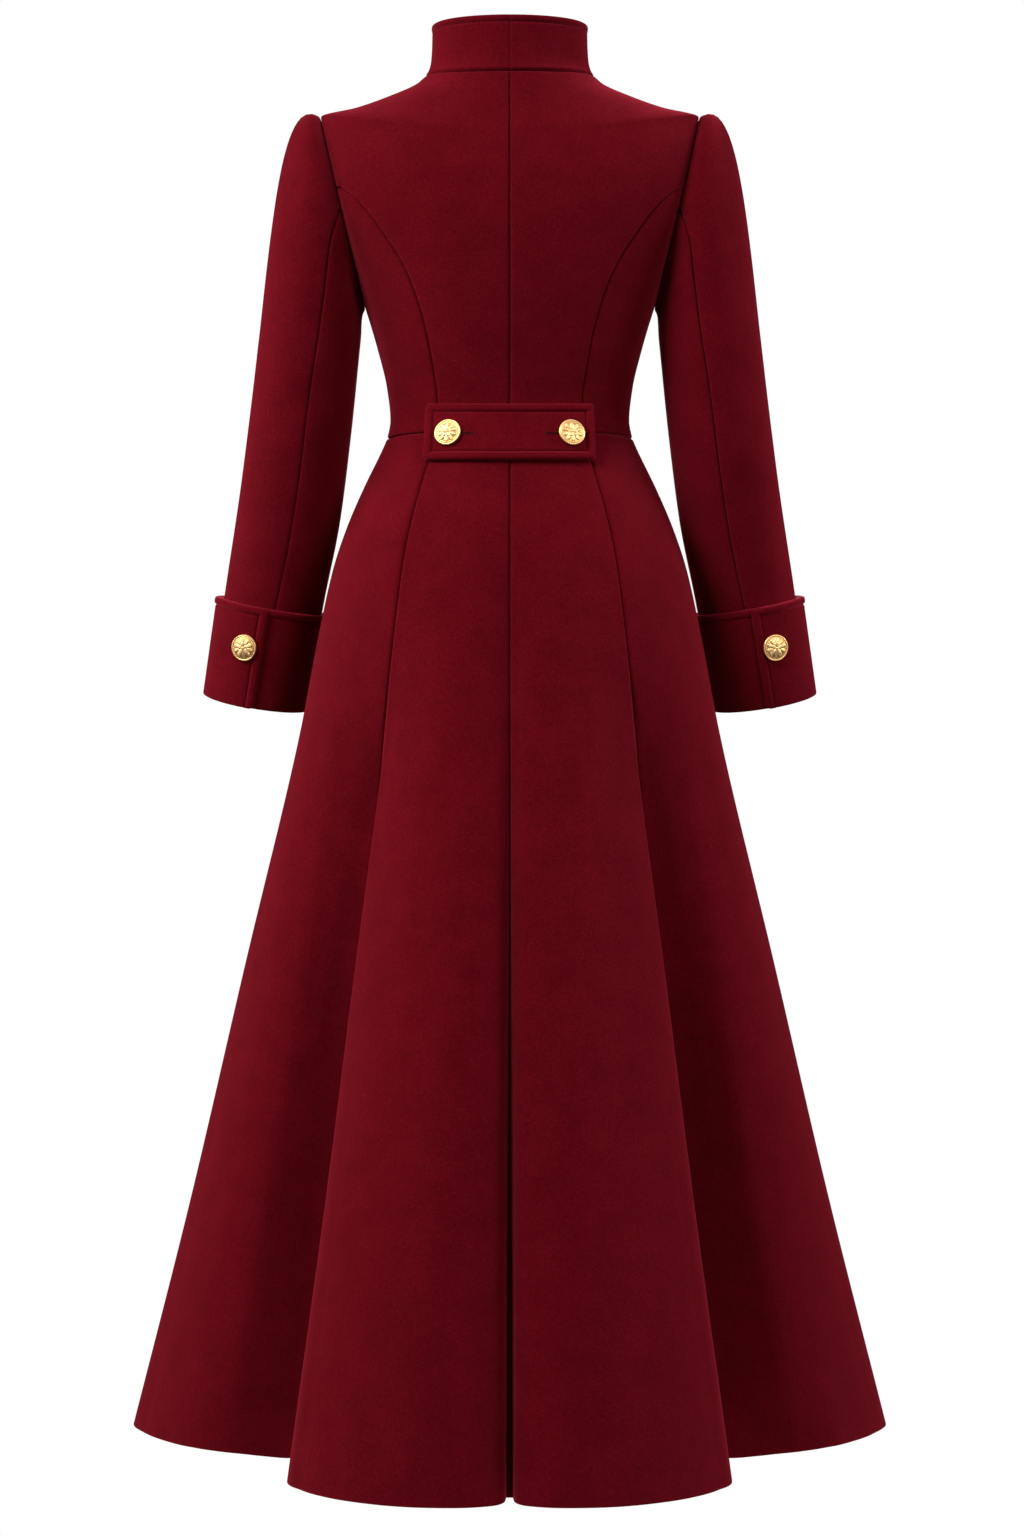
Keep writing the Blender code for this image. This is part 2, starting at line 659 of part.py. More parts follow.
def back_point(surface, x, level):
    """Point of the coat's back at a distance from the centre and at a level."""
    turn = turn_where(surface, level, lambda height: np.abs(x), 0, 85)
    point = surface(turn, level)
    return np.stack([x, point[..., 1], point[..., 2]], axis=-1)


def belt(across, up):
    """Point of the belt's inner face; across runs from -1 to 1 and up from 0 to 1."""
    foot = back_point(skirt, across * BELT_HALF_FOOT, BELT_FOOT + 0 * across)
    top = back_point(bodice, across * BELT_HALF_TOP, BELT_TOP + 0 * across)
    return foot + (top - foot) * up[..., None]


def belt_face(across, up):
    """Point and normal of the belt's outer face."""
    sideways = belt(across + 0.01, up) - belt(across - 0.01, up)
    upward = belt(across, up + 0.01) - belt(across, up - 0.01)
    normal = unit(np.cross(upward, sideways))
    return belt(across, up) + normal * (BELT_OFF + BELT_CLOTH), normal


def add_belt(root):
    """Belt with rounded corners and a border all round."""
    height = BELT_TOP - BELT_FOOT
    corner = BELT_CORNER * (1 - np.cos(np.radians([0, 30, 60, 90])))
    foot_rows = np.append(corner, [BORDER, BORDER + BORDER_STEP])
    rows = np.concatenate([foot_rows, [height / 2], (height - foot_rows)[::-1]])
    from_edge = np.minimum(rows, height - rows)
    cut = np.clip(1 - from_edge / BELT_CORNER, 0, 1)
    shorten = BELT_CORNER * (1 - np.sqrt(1 - cut**2))
    reach = 1 - shorten / BELT_HALF_TOP
    field = 1 - (BORDER + BORDER_STEP) / BELT_HALF_TOP
    border = 1 - BORDER / BELT_HALF_TOP
    columns = np.concatenate([[-1.0, -border], np.linspace(-field, field, BELT_COLUMNS), [border, 1.0]])
    across = reach[:, None] * columns
    up = np.repeat((rows / height)[:, None], len(columns), axis=1)
    from_end = (1 - np.abs(columns)) * BELT_HALF_TOP
    raised = border_rise(np.minimum(from_edge[:, None], from_end))[..., None]
    add_wall("half_belt", *belt_face(across, up), BELT_CLOTH, root, raised)


def button_mesh():
    """Vertices and faces of a turned button that stands on its flat back."""
    rings = list(BUTTON_PROFILE)
    vertices = [(0.0, 0.0, 0.0)]
    for radius, height in rings:
        for side in range(BUTTON_SIDES):
            angle = 2 * math.pi * side / BUTTON_SIDES
            vertices.append((radius * math.cos(angle), radius * math.sin(angle), height))
    vertices.append((0.0, 0.0, BUTTON_CROWN))
    crown = len(vertices) - 1
    faces = []
    for side in range(BUTTON_SIDES):
        after = (side + 1) % BUTTON_SIDES
        faces.append((0, 1 + after, 1 + side))
        for ring in range(len(rings) - 1):
            low = 1 + ring * BUTTON_SIDES
            high = low + BUTTON_SIDES
            faces.append((low + side, low + after, high + after, high + side))
        last = 1 + (len(rings) - 1) * BUTTON_SIDES
        faces.append((last + side, last + after, crown))
    return vertices, faces


def add_button(name, point, normal, root):
    """Stands a button just clear of the cloth it is sewn to."""
    vertices, faces = button_mesh()
    piece = add_object(name, vertices, faces, "brass", root)
    facing = np.asarray(normal, float)
    sideways = unit(np.cross([0.0, 0.0, 1.0], facing))
    upward = np.cross(facing, sideways)
    seat = np.asarray(point, float) + facing * SEAM_GAP
    turned = np.eye(4)
    turned[:3] = np.stack([sideways, upward, facing, seat], axis=-1)
    piece.matrix_local = Matrix(turned.tolist())


def add_buttons(root):
    mirror = np.array([-1.0, 1.0, 1.0])
    across = np.array([BELT_BUTTON_X / BELT_HALF_TOP])
    point, normal = belt_face(across, np.array([0.5]))
    add_button("belt_button_left", point[0], normal[0], root)
    add_button("belt_button_right", point[0] * mirror, normal[0] * mirror, root)
    turn = np.array([CUFF_BUTTON_TURN + 360])
    along = np.array([CUFF_BUTTON_ALONG])
    point = cuff(turn, along)
    normal = outward(cuff, turn, along)
    add_button("cuff_button_left", point[0], normal[0], root)
    add_button("cuff_button_right", point[0] * mirror, normal[0] * mirror, root)


def main():
    for item in list(bpy.data.objects):
        bpy.data.objects.remove(item)
    root = bpy.data.objects.new("coat", None)
    bpy.context.scene.collection.objects.link(root)
    add_collar(root)
    add_bodice(root)
    add_skirt(root)
    add_underlay(root)
    add_sleeves(root)
    add_cuffs(root)
    add_belt(root)
    add_buttons(root)


main()
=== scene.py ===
"""Looks of a long princess-line wool coat: felted cloth panels, topstitching, buttonholes and metal buttons.

Metres, +Z up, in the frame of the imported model. The coat's front faces -Y and the wearer's left is +X.
"""

import math

import bpy
import numpy as np
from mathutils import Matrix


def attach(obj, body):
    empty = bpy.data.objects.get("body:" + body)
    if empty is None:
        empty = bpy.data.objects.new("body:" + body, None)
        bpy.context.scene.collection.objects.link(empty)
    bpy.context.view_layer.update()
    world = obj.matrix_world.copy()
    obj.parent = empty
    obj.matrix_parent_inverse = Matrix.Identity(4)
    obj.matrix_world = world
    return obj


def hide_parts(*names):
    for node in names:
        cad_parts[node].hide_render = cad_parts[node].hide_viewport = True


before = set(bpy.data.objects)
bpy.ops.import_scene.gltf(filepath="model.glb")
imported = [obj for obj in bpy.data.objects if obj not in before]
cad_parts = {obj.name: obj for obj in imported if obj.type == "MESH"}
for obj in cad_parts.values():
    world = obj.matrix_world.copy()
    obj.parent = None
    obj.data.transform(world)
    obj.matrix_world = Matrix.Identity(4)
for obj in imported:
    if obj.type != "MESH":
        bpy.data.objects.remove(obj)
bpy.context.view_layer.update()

# Wall thickness of each kind of piece, and the clear distance of what lies on the cloth
CLOTH = 0.0025
COLLAR_CLOTH = 0.0040
CUFF_CLOTH = 0.0035
BELT_CLOTH = 0.0050
CLEARANCE = 0.0003

# Topstitched border along the edges of the collar, the cuffs and the belt
BORDER = 0.0090
BORDER_RISE = 0.0016
COLLAR_BORDER = 0.0072
COLLAR_BORDER_RISE = 0.0007
STITCH_GROOVE = 0.0013
STITCH_GROOVE_WIDTH = 0.0012

# How the cloth turns down into a seam, less at the pressed seam of the collar, and further in at an armhole
SEAM_DROP = 0.0042
SEAM_ROLL = 0.0030
COLLAR_SEAM_DROP = 0.0010
ARMHOLE_DROP = 0.0060
ARMHOLE_ROLL = 0.0130
ARMHOLE_FADE = 0.0200

# Heights of the main lines
NECK = 0.009
SHOULDER = -0.033
CHEST = -0.120
ARMPIT = -0.235
WAIST = -0.371
HEM = -1.4075

# Front closing: how far each front runs past the centre, the turns between which its edge lies, and
# where the lower one sinks under the other
LAP = 0.030
FRONT_EDGE_TURNS = (230, 100)
LAP_SINK_START = 0.060
LAP_SINK_END = 0.034
LAP_GAP = 0.0010
LAP_SINK = COLLAR_CLOTH + BORDER_RISE + LAP_GAP

# Armhole: half width of its plane at the shoulder and at the armpit, the steps along each side of its line,
# and how close to it a point counts as on it
ARMHOLE_TOP = 0.1990
ARMHOLE_FOOT = 0.1516
ARMHOLE_STEPS = 241
ARMHOLE_NEAR_HEIGHT = 1e-5
ARMHOLE_NEAR_WIDTH = 1e-4

# Rings of the bodice. A ring dips from its level at the side towards the centre back and front.
# A squareness of 2 is an ellipse.
RING_COLUMNS = ("level", "width", "back", "front", "back_dip", "front_dip", "squareness")
BODICE_RINGS = (
    (WAIST, 0.1290, 0.0860, 0.0950, 0.000, 0.000, 2.10),
    (-0.352, 0.1256, 0.0830, 0.0920, 0.000, 0.000, 2.10),
    (-0.319, 0.1290, 0.0865, 0.0990, 0.000, 0.000, 2.15),
    (-0.277, 0.1390, 0.0955, 0.1150, 0.000, 0.000, 2.20),
    (ARMPIT, 0.1516, 0.1020, 0.1260, 0.000, 0.000, 2.20),
    (-0.210, 0.1605, 0.1048, 0.1250, 0.001, 0.002, 2.25),
    (-0.180, 0.1735, 0.1065, 0.1220, 0.003, 0.005, 2.30),
    (-0.150, 0.1855, 0.1075, 0.1150, 0.006, 0.012, 2.35),
    (-0.100, 0.1980, 0.1040, 0.1000, 0.014, 0.030, 2.40),
    (-0.060, 0.2030, 0.0970, 0.0880, 0.024, 0.050, 2.25),
    (SHOULDER, 0.1990, 0.0905, 0.0805, 0.030, 0.062, 2.05),
    (-0.0245, 0.1637, 0.0865, 0.0780, 0.028, 0.064, 2.15),
    (-0.0120, 0.1279, 0.0800, 0.0745, 0.023, 0.067, 2.15),
    (0.0010, 0.0984, 0.0725, 0.0715, 0.011, 0.069, 2.05),
    (NECK, 0.0895, 0.0690, 0.0700, 0.006, 0.070, 2.00),
)

# Rings of the stand collar, by height above the neck seam
COLLAR_RINGS = (
    (0.0009, 0.0893, 0.0688, 0.0699, 0.006, 0.070, 2.0),
    (0.0060, 0.0858, 0.0662, 0.0682, 0.005, 0.069, 2.0),
    (0.0160, 0.0830, 0.0642, 0.0668, 0.004, 0.068, 2.0),
    (0.0340, 0.0818, 0.0636, 0.0660, 0.003, 0.068, 2.0),
    (0.0545, 0.0815, 0.0638, 0.0655, 0.002, 0.068, 2.0),
)
COLLAR_TOP = COLLAR_RINGS[-1][0]

# Curved princess seam of the back bodice: half width at each height, and the levels between which it meets
# the armhole
PRINCESS_COLUMNS = ("height", "width")
PRINCESS_SEAM = (
    (WAIST, 0.0748),
    (-0.342, 0.0755),
    (-0.286, 0.0831),
    (-0.257, 0.0897),
    (-0.235, 0.0963),
    (-0.212, 0.1049),
    (-0.189, 0.1169),
    (-0.168, 0.1307),
    (-0.143, 0.1484),
    (-0.127, 0.1626),
    (-0.112, 0.1806),
)
PRINCESS_TOP_LEVELS = (-0.16, -0.06)

# Skirt: smooth ring at the hem, and how much of the flare each height has reached
HEM_RING = {"width": 0.396, "back": 0.345, "front": 0.325, "squareness": 2.0}
FLARE_COLUMNS = ("height", "share")
SKIRT_FLARE = (
    (HEM, 1.000),
    (-1.1717, 0.7764),
    (-0.9190, 0.5558),
    (-0.6770, 0.3408),
    (-0.5800, 0.2715),
    (-0.5090, 0.2135),
    (-0.4665, 0.1614),
    (-0.4244, 0.0944),
    (-0.3820, 0.0176),
    (WAIST, 0.000),
)

# Folds of the skirt: the line of the hem by turn from the centre back (0) over the side (90) to the
# centre front (180), how far the hem drops there, the height at which each fold begins and how it grows.
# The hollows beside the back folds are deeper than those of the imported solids.
FOLD_COLUMNS = ("turn", "x", "y", "drop", "start", "growth")
PRINCESS_TURN = 35.2
HEM_FOLDS = (
    (0.0, 0.0030, 0.3520, 0.000, -0.50, 1.25),  # rolled edge of the inverted pleat
    (2.0, 0.0042, 0.3680, 0.000, -0.50, 1.25),
    (3.8, 0.0150, 0.3790, 0.000, -0.50, 1.25),
    (6.9, 0.0400, 0.3815, 0.000, -0.50, 1.25),  # broad lobe of the centre back
    (11.5, 0.0780, 0.3770, 0.000, -0.50, 1.25),
    (16.0, 0.1137, 0.3670, 0.000, -0.50, 1.25),
    (20.2, 0.1450, 0.3530, 0.000, -0.50, 1.25),
    (24.2, 0.1726, 0.3350, 0.000, -0.52, 1.25),
    (29.1, 0.2000, 0.3060, 0.000, -0.54, 1.25),
    (33.8, 0.2155, 0.2720, 0.000, -0.58, 1.25),  # fold edge over the princess seam
    (34.5, 0.2090, 0.2100, 0.004, -0.58, 1.10),
    (PRINCESS_TURN, 0.1990, 0.1260, 0.010, -0.58, 1.10),
    (40.7, 0.2240, 0.1250, 0.010, -0.58, 1.10),  # hollow beside the fold
    (46.2, 0.2500, 0.1285, 0.007, -0.58, 1.10),
    (53.0, 0.2800, 0.1310, 0.003, -0.58, 1.12),
    (59.9, 0.3070, 0.1240, 0.001, -0.57, 1.15),
    (65.2, 0.3290, 0.1110, 0.000, -0.56, 1.20),
    (70.4, 0.3490, 0.0900, 0.000, -0.56, 1.25),
    (79.5, 0.3770, 0.0500, 0.000, -0.56, 1.25),
    (90.0, 0.3960, 0.0000, 0.000, -0.56, 1.25),  # side seam
    (101.0, 0.3850, -0.0580, 0.000, -0.60, 1.25),
    (112.0, 0.3450, -0.1120, 0.000, -0.60, 1.25),
    (124.0, 0.2880, -0.1500, 0.000, -0.60, 1.25),  # soft trough of the front
    (133.0, 0.2400, -0.1850, 0.000, -0.60, 1.25),
    (142.0, 0.2120, -0.2320, 0.000, -0.60, 1.25),
    (152.0, 0.1780, -0.2800, 0.000, -0.60, 1.25),
    (162.0, 0.1200, -0.3140, 0.000, -0.60, 1.25),
    (172.0, 0.0550, -0.3280, 0.000, -0.60, 1.25),
    (180.0, 0.0000, -0.3300, 0.000, -0.60, 1.25),
)

# Share of its height over which a fold starts softly
FOLD_ONSET = 0.22

# Rolled edges beside the pleat and the back folds: how far the cloth turns in at middle height and at the
# hem, and the height at which that begins
ROLL_COLUMNS = ("turn", "middle", "hem", "start")
EDGE_ROLLS = (
    (0.0, 0.0085, 0.0170, -0.36),
    (2.0, 0.0066, 0.0150, -0.36),
    (3.8, 0.0049, 0.0120, -0.36),
    (6.9, 0.0026, 0.0070, -0.36),
    (11.5, 0.0007, 0.0025, -0.44),
    (16.0, 0.0004, 0.0002, -0.54),
    (20.2, 0.0016, 0.0004, -0.54),
    (24.2, 0.0043, 0.0012, -0.54),
    (29.1, 0.0100, 0.0030, -0.54),
    (33.8, 0.0195, 0.0060, -0.54),
    (PRINCESS_TURN, 0.0195, 0.0060, -0.54),
    (46.2, 0.0145, 0.0045, -0.54),
    (59.9, 0.0060, 0.0018, -0.54),
    (75.0, 0.0000, 0.0000, -0.54),
    (180.0, 0.0000, 0.0000, -0.54),
)
ROLL_ONSET = 0.22
ROLL_CHANGE_START = -1.00
ROLL_CHANGE_END = -1.38

# Underlay of the inverted pleat: half width and how far its middle lies behind the lobes, its clear distance
# from them, the share of its width that ignores their rolled edges, and the turn at which they end
UNDERLAY_COLUMNS = ("height", "width", "depth")
UNDERLAY_SECTIONS = (
    (HEM, 0.095, 0.0360),
    (-1.10, 0.070, 0.0240),
    (-0.85, 0.045, 0.0140),
    (-0.66, 0.022, 0.0065),
)
UNDERLAY_TOP = UNDERLAY_SECTIONS[-1][0]
UNDERLAY_OFF = CLOTH * 1.45 + CLEARANCE
UNDERLAY_FLAT = 0.35
LOBE_END = 33.0

# Sleeve below its head: centre, half width and half depth of each section, and the step that shows its way
SLEEVE_COLUMNS = ("x", "y", "z", "width", "depth")
SLEEVE_SECTIONS = (
    (0.2104, -0.002, -0.2650, 0.0533, 0.0590),  # upper arm
    (0.2215, -0.010, -0.3600, 0.0542, 0.0580),  # elbow
    (0.2340, -0.028, -0.4454, 0.0547, 0.0565),
    (0.2505, -0.048, -0.5300, 0.0530, 0.0550),
    (0.2705, -0.066, -0.6460, 0.0512, 0.0530),  # wrist
)
SLEEVE_END = float(len(SLEEVE_SECTIONS))
AXIS_STEP = 0.02

# Head of the sleeve: how far it runs out of the armhole and into the arm, and which way it starts
HEAD_RISE = 0.20
HEAD_FALL = 0.60
HEAD_OUTWARD = 0.80
HEAD_RADIAL = 0.60

# Seams of the two-piece sleeve, by turn from the outer side (0) over the back (90) to the inner side (180)
SLEEVE_SEAM_COLUMNS = ("along", "back", "front")
SLEEVE_SEAMS = (
    (0.0, 93.0, 250.0),
    (0.12, 103.0, 249.4),
    (0.30, 108.0, 248.5),
    (0.60, 107.0, 247.0),
    (1.0, 103.0, 246.0),
    (2.0, 99.0, 245.0),
    (5.0, 95.0, 245.0),
)

# Turned-back cuff: where it starts along the sleeve, how far it stands off and how much of that its cloth
# fills, how far its top edge falls from the back of the arm to the front, and its lap at the back
CUFF_START = 4.10
CUFF_LENGTH = 0.106
CUFF_GIRTH = 0.366
CUFF_OFF = 0.0007
CUFF_FILL = 0.7
CUFF_TOP_FALL = 0.0070
CUFF_UNDER_END = 52.0
CUFF_OVER_END = 450.0
CUFF_LAP_GAP = 0.0006
CUFF_LAP_EASE = 6.0
CUFF_WIND_EASE = 45.0
CUFF_CORNER = 0.0050
CUFF_CORNER_REACH = 0.0150
CUFF_BUTTON_TURN = 72.0
CUFF_BUTTON_ALONG = 4.49

# Steps along the sleeve and degrees round it for each metre of the cuff
CUFF_STEPS = (SLEEVE_END - CUFF_START) / CUFF_LENGTH
CUFF_TURNS = 360 / CUFF_GIRTH

# Half belt: its edges, how far their middle hangs below their ends, and its buttons
BELT_TOP = -0.34235
BELT_FOOT = -0.4026
BELT_HEIGHT = BELT_TOP - BELT_FOOT
BELT_TOP_BOW = 0.00245
BELT_FOOT_BOW = 0.0016
BELT_HALF_TOP = 0.0850
BELT_HALF_FOOT = 0.0870
BELT_CORNER = 0.0050
BELT_OFF = 0.0006
BELT_BUTTON_X = 0.0606
BELT_BUTTON_UP = 0.465

# Turn up to which the coat's back is searched for the belt's line, and the step that shows the belt's slope
BACK_END = 85
BELT_STEP = 0.01

# Domed metal button: rim, field and relief
BUTTON_RADIUS = 0.0140
BUTTON_BACK_RADIUS = 0.0122
BUTTON_RIM = 0.0130
BUTTON_RIM_WIDTH = 0.0008
BUTTON_FIELD = 0.0124
BUTTON_FIELD_HEIGHT = 0.0030
BUTTON_DOME = 0.0022
BUTTON_RELIEF = 0.0010
BUTTON_EDGE = ((BUTTON_BACK_RADIUS, 0.0), (BUTTON_RADIUS, 0.0012), (BUTTON_RADIUS, 0.0028))
BUTTON_EYE = 0.0002
BUTTON_RINGS = 64
BUTTON_SIDES = 160

# Heights of the rim and beads, and places of the beads
RIM_RISE = 0.0007
BEADS = 40
BEAD_RING = 0.0113
BEAD_WIDTH = 0.0006
BEAD_RISE = 0.0003
BEAD_SHAPE = 0.8

# Rosette: number, start, end and turn (as a share of a petal) of each ring of petals, their form, and a knob
OUTER_PETALS = (10, 0.0026, 0.0104, 0.0)
INNER_PETALS = (5, 0.0006, 0.0060, 0.25)
INNER_RISE = 1.25
PETAL_SHAPE = 0.8
PETAL_WIDTH = 0.94
PETAL_THINNEST = 0.02
PETAL_FOOT = 0.45
VEIN_DEPTH = 0.30
VEIN_WIDTH = 0.10
VEIN_END = 0.85
KNOB_RADIUS = 0.0014
KNOB_RISE = 1.5

# Share of the relief's height up to which it is darkened with painted shade, as in a recess
RECESS_SHADE_END = 0.7

# Buttonholes: length of the slit from the middle of the button, its depth and width, and its stitches
BUTTONHOLE = 0.0245
CUFF_BUTTONHOLE = 0.0178
SLIT_DEPTH = 0.0022
SLIT_WIDTH = 0.0006
BUTTONHOLE_STITCH = 0.0013
BUTTONHOLE_PITCH = 0.0006
BUTTONHOLE_REACH = BUTTONHOLE_STITCH * 0.72
BUTTONHOLE_FAN = 75.0
BUTTONHOLE_SPOKES = 7

# Topstitching: distance from stitch to stitch, length and thickness of the thread
STITCH_PITCH = 0.0036
STITCH_LENGTH = 0.0029
THREAD = 0.00024
BUTTONHOLE_THREAD = THREAD * 1.2

# One stitch: places along it and their thickness, its sides, its arch and how far its ends dip
STITCH_PLACES = np.array([-0.50, -0.36, -0.12, 0.12, 0.36, 0.50])
STITCH_GIRTHS = np.array([0.45, 0.90, 1.00, 1.00, 0.90, 0.45])
STITCH_SIDES = 6
STITCH_ARCH = 0.9
STITCH_DIP = 5.2

# Grid spacing of the fine cloth, and the narrow steps beside an edge
SPACING = 0.0060
FINE_SPACING = 0.0028
BELT_SPACING = 0.0010
EDGE_STEPS = (0.0, 0.0005, 0.0011, 0.0019, 0.0030, 0.0044)
BREAK_STEPS = (0.0, 0.0012, 0.0030)
BORDER_STEPS = (0.0, 0.0003, 0.0008, 0.0016, 0.0028, 0.0042, 0.0056, 0.0068, 0.0077, 0.0083, 0.0088, 0.0093,
                0.0098, 0.0104, 0.0112, 0.0124)
SLIT_STEPS = (0.0, 0.0003, 0.0006, 0.0009, 0.0013, 0.0020)
SWEEP = 240
LEVEL_SWEEP = 4 * SWEEP

# Halvings when a turn, or the level at which the princess seam meets the armhole, is searched for
TURN_HALVINGS = 44
LEVEL_HALVINGS = 40

# Share by which the faces of a wall draw in at its rounded edges
EDGE_ROUNDNESS = 0.92

# How soft creases fade at their ends and where the cloth turns away
CREASE_END = 0.1
CREASE_TAPER = 0.7
CREASE_FACING = 0.5

# Soft creases as lines across the coat's back (face 1) or front (face -1). A positive depth is a ridge.
# Columns: face, x and z of the start, x and z of the end, width, depth
CREASES = (
    (1, 0.155, -0.208, 0.104, -0.262, 0.013, -0.0012),  # drag lines from the armholes
    (1, 0.146, -0.236, 0.108, -0.290, 0.012, 0.0009),
    (1, -0.152, -0.200, -0.098, -0.244, 0.014, -0.0011),
    (1, -0.148, -0.232, -0.112, -0.300, 0.011, 0.0010),
    (1, 0.168, -0.075, 0.150, -0.165, 0.016, 0.0012),  # fullness beside the armholes
    (1, -0.172, -0.070, -0.152, -0.172, 0.015, 0.0013),
    (1, 0.060, -0.330, 0.118, -0.312, 0.010, -0.0008),  # pull at the waist
    (1, -0.066, -0.326, -0.116, -0.318, 0.011, -0.0009),
    (1, -0.020, -0.322, -0.072, -0.308, 0.012, 0.0007),
    (1, 0.018, -0.310, 0.070, -0.300, 0.012, 0.0006),
    (1, 0.226, -0.210, 0.262, -0.262, 0.016, -0.0010),  # sleeves
    (1, 0.192, -0.318, 0.236, -0.352, 0.014, -0.0012),
    (1, 0.200, -0.372, 0.262, -0.392, 0.017, 0.0010),
    (1, 0.222, -0.424, 0.266, -0.410, 0.013, -0.0009),
    (1, 0.232, -0.500, 0.282, -0.488, 0.014, 0.0007),
    (1, -0.230, -0.196, -0.258, -0.252, 0.017, -0.0010),
    (1, -0.196, -0.330, -0.242, -0.358, 0.013, -0.0011),
    (1, -0.206, -0.384, -0.262, -0.398, 0.016, 0.0011),
    (1, -0.226, -0.438, -0.272, -0.420, 0.014, -0.0009),
    (1, -0.240, -0.506, -0.280, -0.494, 0.013, 0.0007),
    (1, 0.100, -0.430, 0.150, -0.560, 0.022, 0.0012),  # hips
    (1, -0.104, -0.440, -0.148, -0.580, 0.024, 0.0012),
    (1, 0.088, -0.760, 0.120, -1.180, 0.030, -0.0018),  # soft length of the skirt
    (1, 0.060, -0.900, 0.084, -1.360, 0.026, 0.0015),
    (1, -0.098, -0.820, -0.132, -1.240, 0.032, -0.0018),
    (1, -0.056, -0.960, -0.070, -1.380, 0.024, 0.0014),
    (1, 0.250, -0.980, 0.318, -1.390, 0.026, -0.0022),
    (1, -0.246, -1.010, -0.322, -1.390, 0.028, -0.0024),
    (-1, 0.150, -0.190, 0.098, -0.240, 0.014, -0.0014),  # front: bust, waist and sleeves
    (-1, -0.148, -0.196, -0.092, -0.250, 0.013, -0.0013),
    (-1, 0.120, -0.262, 0.060, -0.300, 0.014, 0.0012),
    (-1, -0.122, -0.270, -0.064, -0.296, 0.015, 0.0011),
    (-1, 0.110, -0.330, 0.044, -0.322, 0.010, -0.0010),
    (-1, -0.112, -0.326, -0.048, -0.334, 0.011, -0.0011),
    (-1, 0.188, -0.330, 0.250, -0.352, 0.012, -0.0020),
    (-1, 0.196, -0.366, 0.262, -0.378, 0.013, -0.0022),
    (-1, 0.206, -0.404, 0.270, -0.402, 0.014, -0.0016),
    (-1, -0.190, -0.338, -0.248, -0.350, 0.012, -0.0021),
    (-1, -0.198, -0.372, -0.264, -0.386, 0.014, -0.0020),
    (-1, -0.210, -0.414, -0.270, -0.404, 0.013, -0.0016),
    (-1, 0.070, -0.520, 0.110, -0.900, 0.034, 0.0022),
    (-1, -0.076, -0.540, -0.118, -0.940, 0.036, 0.0022),
    (-1, 0.100, -0.860, 0.140, -1.380, 0.028, -0.0026),
    (-1, -0.096, -0.820, -0.136, -1.380, 0.030, -0.0026),
    (-1, 0.290, -1.000, 0.330, -1.390, 0.024, 0.0022),
    (-1, -0.284, -0.980, -0.334, -1.390, 0.026, 0.0022),
)

# Photograph's frame and view: height in pixels, focal length in those pixels, and the camera's place
FRAME_HEIGHT = 1536
FOCAL_PIXELS = 3135
SENSOR = 36.0
CAMERA_PLACE = (-0.0023, 3.30, -0.717)

# Studio lights: soft discs round the coat, by turn from the camera towards the wearer's left and by rise
# Columns: name, turn, rise, power
LIGHTS = (
    ("key", 50.0, 35.0, 22.0),
    ("top", 10.0, 66.0, 2.4),
    ("left_side", 94.0, 12.0, 13.5),
    ("right_side", -96.0, 22.0, 15.5),
    ("right_fill", -36.0, 12.0, 7.0),
    ("front", 180.0, 10.0, 21.0),
)
LIGHT_SIZE = 2.0
LIGHT_DISTANCE = 4.0
LIGHT_SPREAD = 64.0
LIGHT_AIM = np.array([0.0, 0.0, -0.45])

# Studio: round floor below the hem, and the world's light, which fades downwards where it is mirrored
FLOOR_RADIUS = 0.80
FLOOR_DROP = 0.315
FLOOR_SIDES = 96
FLOOR_GLOW = 0.30
WORLD_LIGHT = 0.02
WORLD_FADE = {"From Min": -0.5, "From Max": 0.7, "To Min": 0.06, "To Max": 1.0}

# Colours, most of them as stops along the noise or relief that they follow
WOOL_TONE = ((0.30, (0.093, 0.0017, 0.0046)), (0.70, (0.115, 0.0024, 0.0062)))
WOOL_SPECKLE = ((0.30, (0.75, 0.75, 0.75)), (0.70, (1.25, 1.25, 1.25)))
WOOL_STRANDS = ((0.54, (0.0, 0.0, 0.0)), (0.64, (0.026, 0.0014, 0.0030)))
WOOL_SHEEN = (0.80, 0.06, 0.10, 1.0)
THREAD_TONE = ((0.35, (0.060, 0.0012, 0.0034)), (0.65, (0.100, 0.0026, 0.0062)))
# Gold's own tone at 0, and painted shade (darker and warmer) at 1 where the relief sinks in
GOLD_TONE_AND_SHADE = ((0.0, (0.92, 0.61, 0.28)), (1.0, (0.70, 0.39, 0.14)))
GOLD_WEAR = ((0.3, (0.86, 0.86, 0.84)), (0.7, (1.0, 1.0, 1.0)))
PALE = (0.9, 0.9, 0.9, 1.0)
WHITE = (1.0, 1.0, 1.0, 1.0)

# Sides of the coat, and the factors that turn points of the wearer's left side into points of each
SIDES = (("left", np.array([1.0, 1.0, 1.0])), ("right", np.array([-1.0, 1.0, 1.0])))


# Curves and tables

def column(columns, rows, name):
    """One named column of a table."""
    return np.array([row[columns.index(name)] for row in rows], float)


def smooth_curve(knots, values, at):
    """Monotone cubic through the knots, which never overshoots between them."""
    order = np.argsort(knots)
    knots = knots[order]
    values = values[order]
    step = np.diff(knots)
    slope = np.diff(values) / step
    product = slope[:-1] * slope[1:]
    mean = np.divide(2 * product, slope[:-1] + slope[1:], out=np.zeros_like(product), where=product > 0)
    tangent = np.concatenate([slope[:1], mean, slope[-1:]])
    place = np.clip(np.searchsorted(knots, at, side="right") - 1, 0, len(step) - 1)
    t = (at - knots[place]) / step[place]
    rise = values[place + 1] - values[place]
    first = tangent[place] * step[place]
    last = tangent[place + 1] * step[place]
    return values[place] + t * first + t * t * ((3 - 2 * t) * rise - (2 - t) * first - (1 - t) * last)


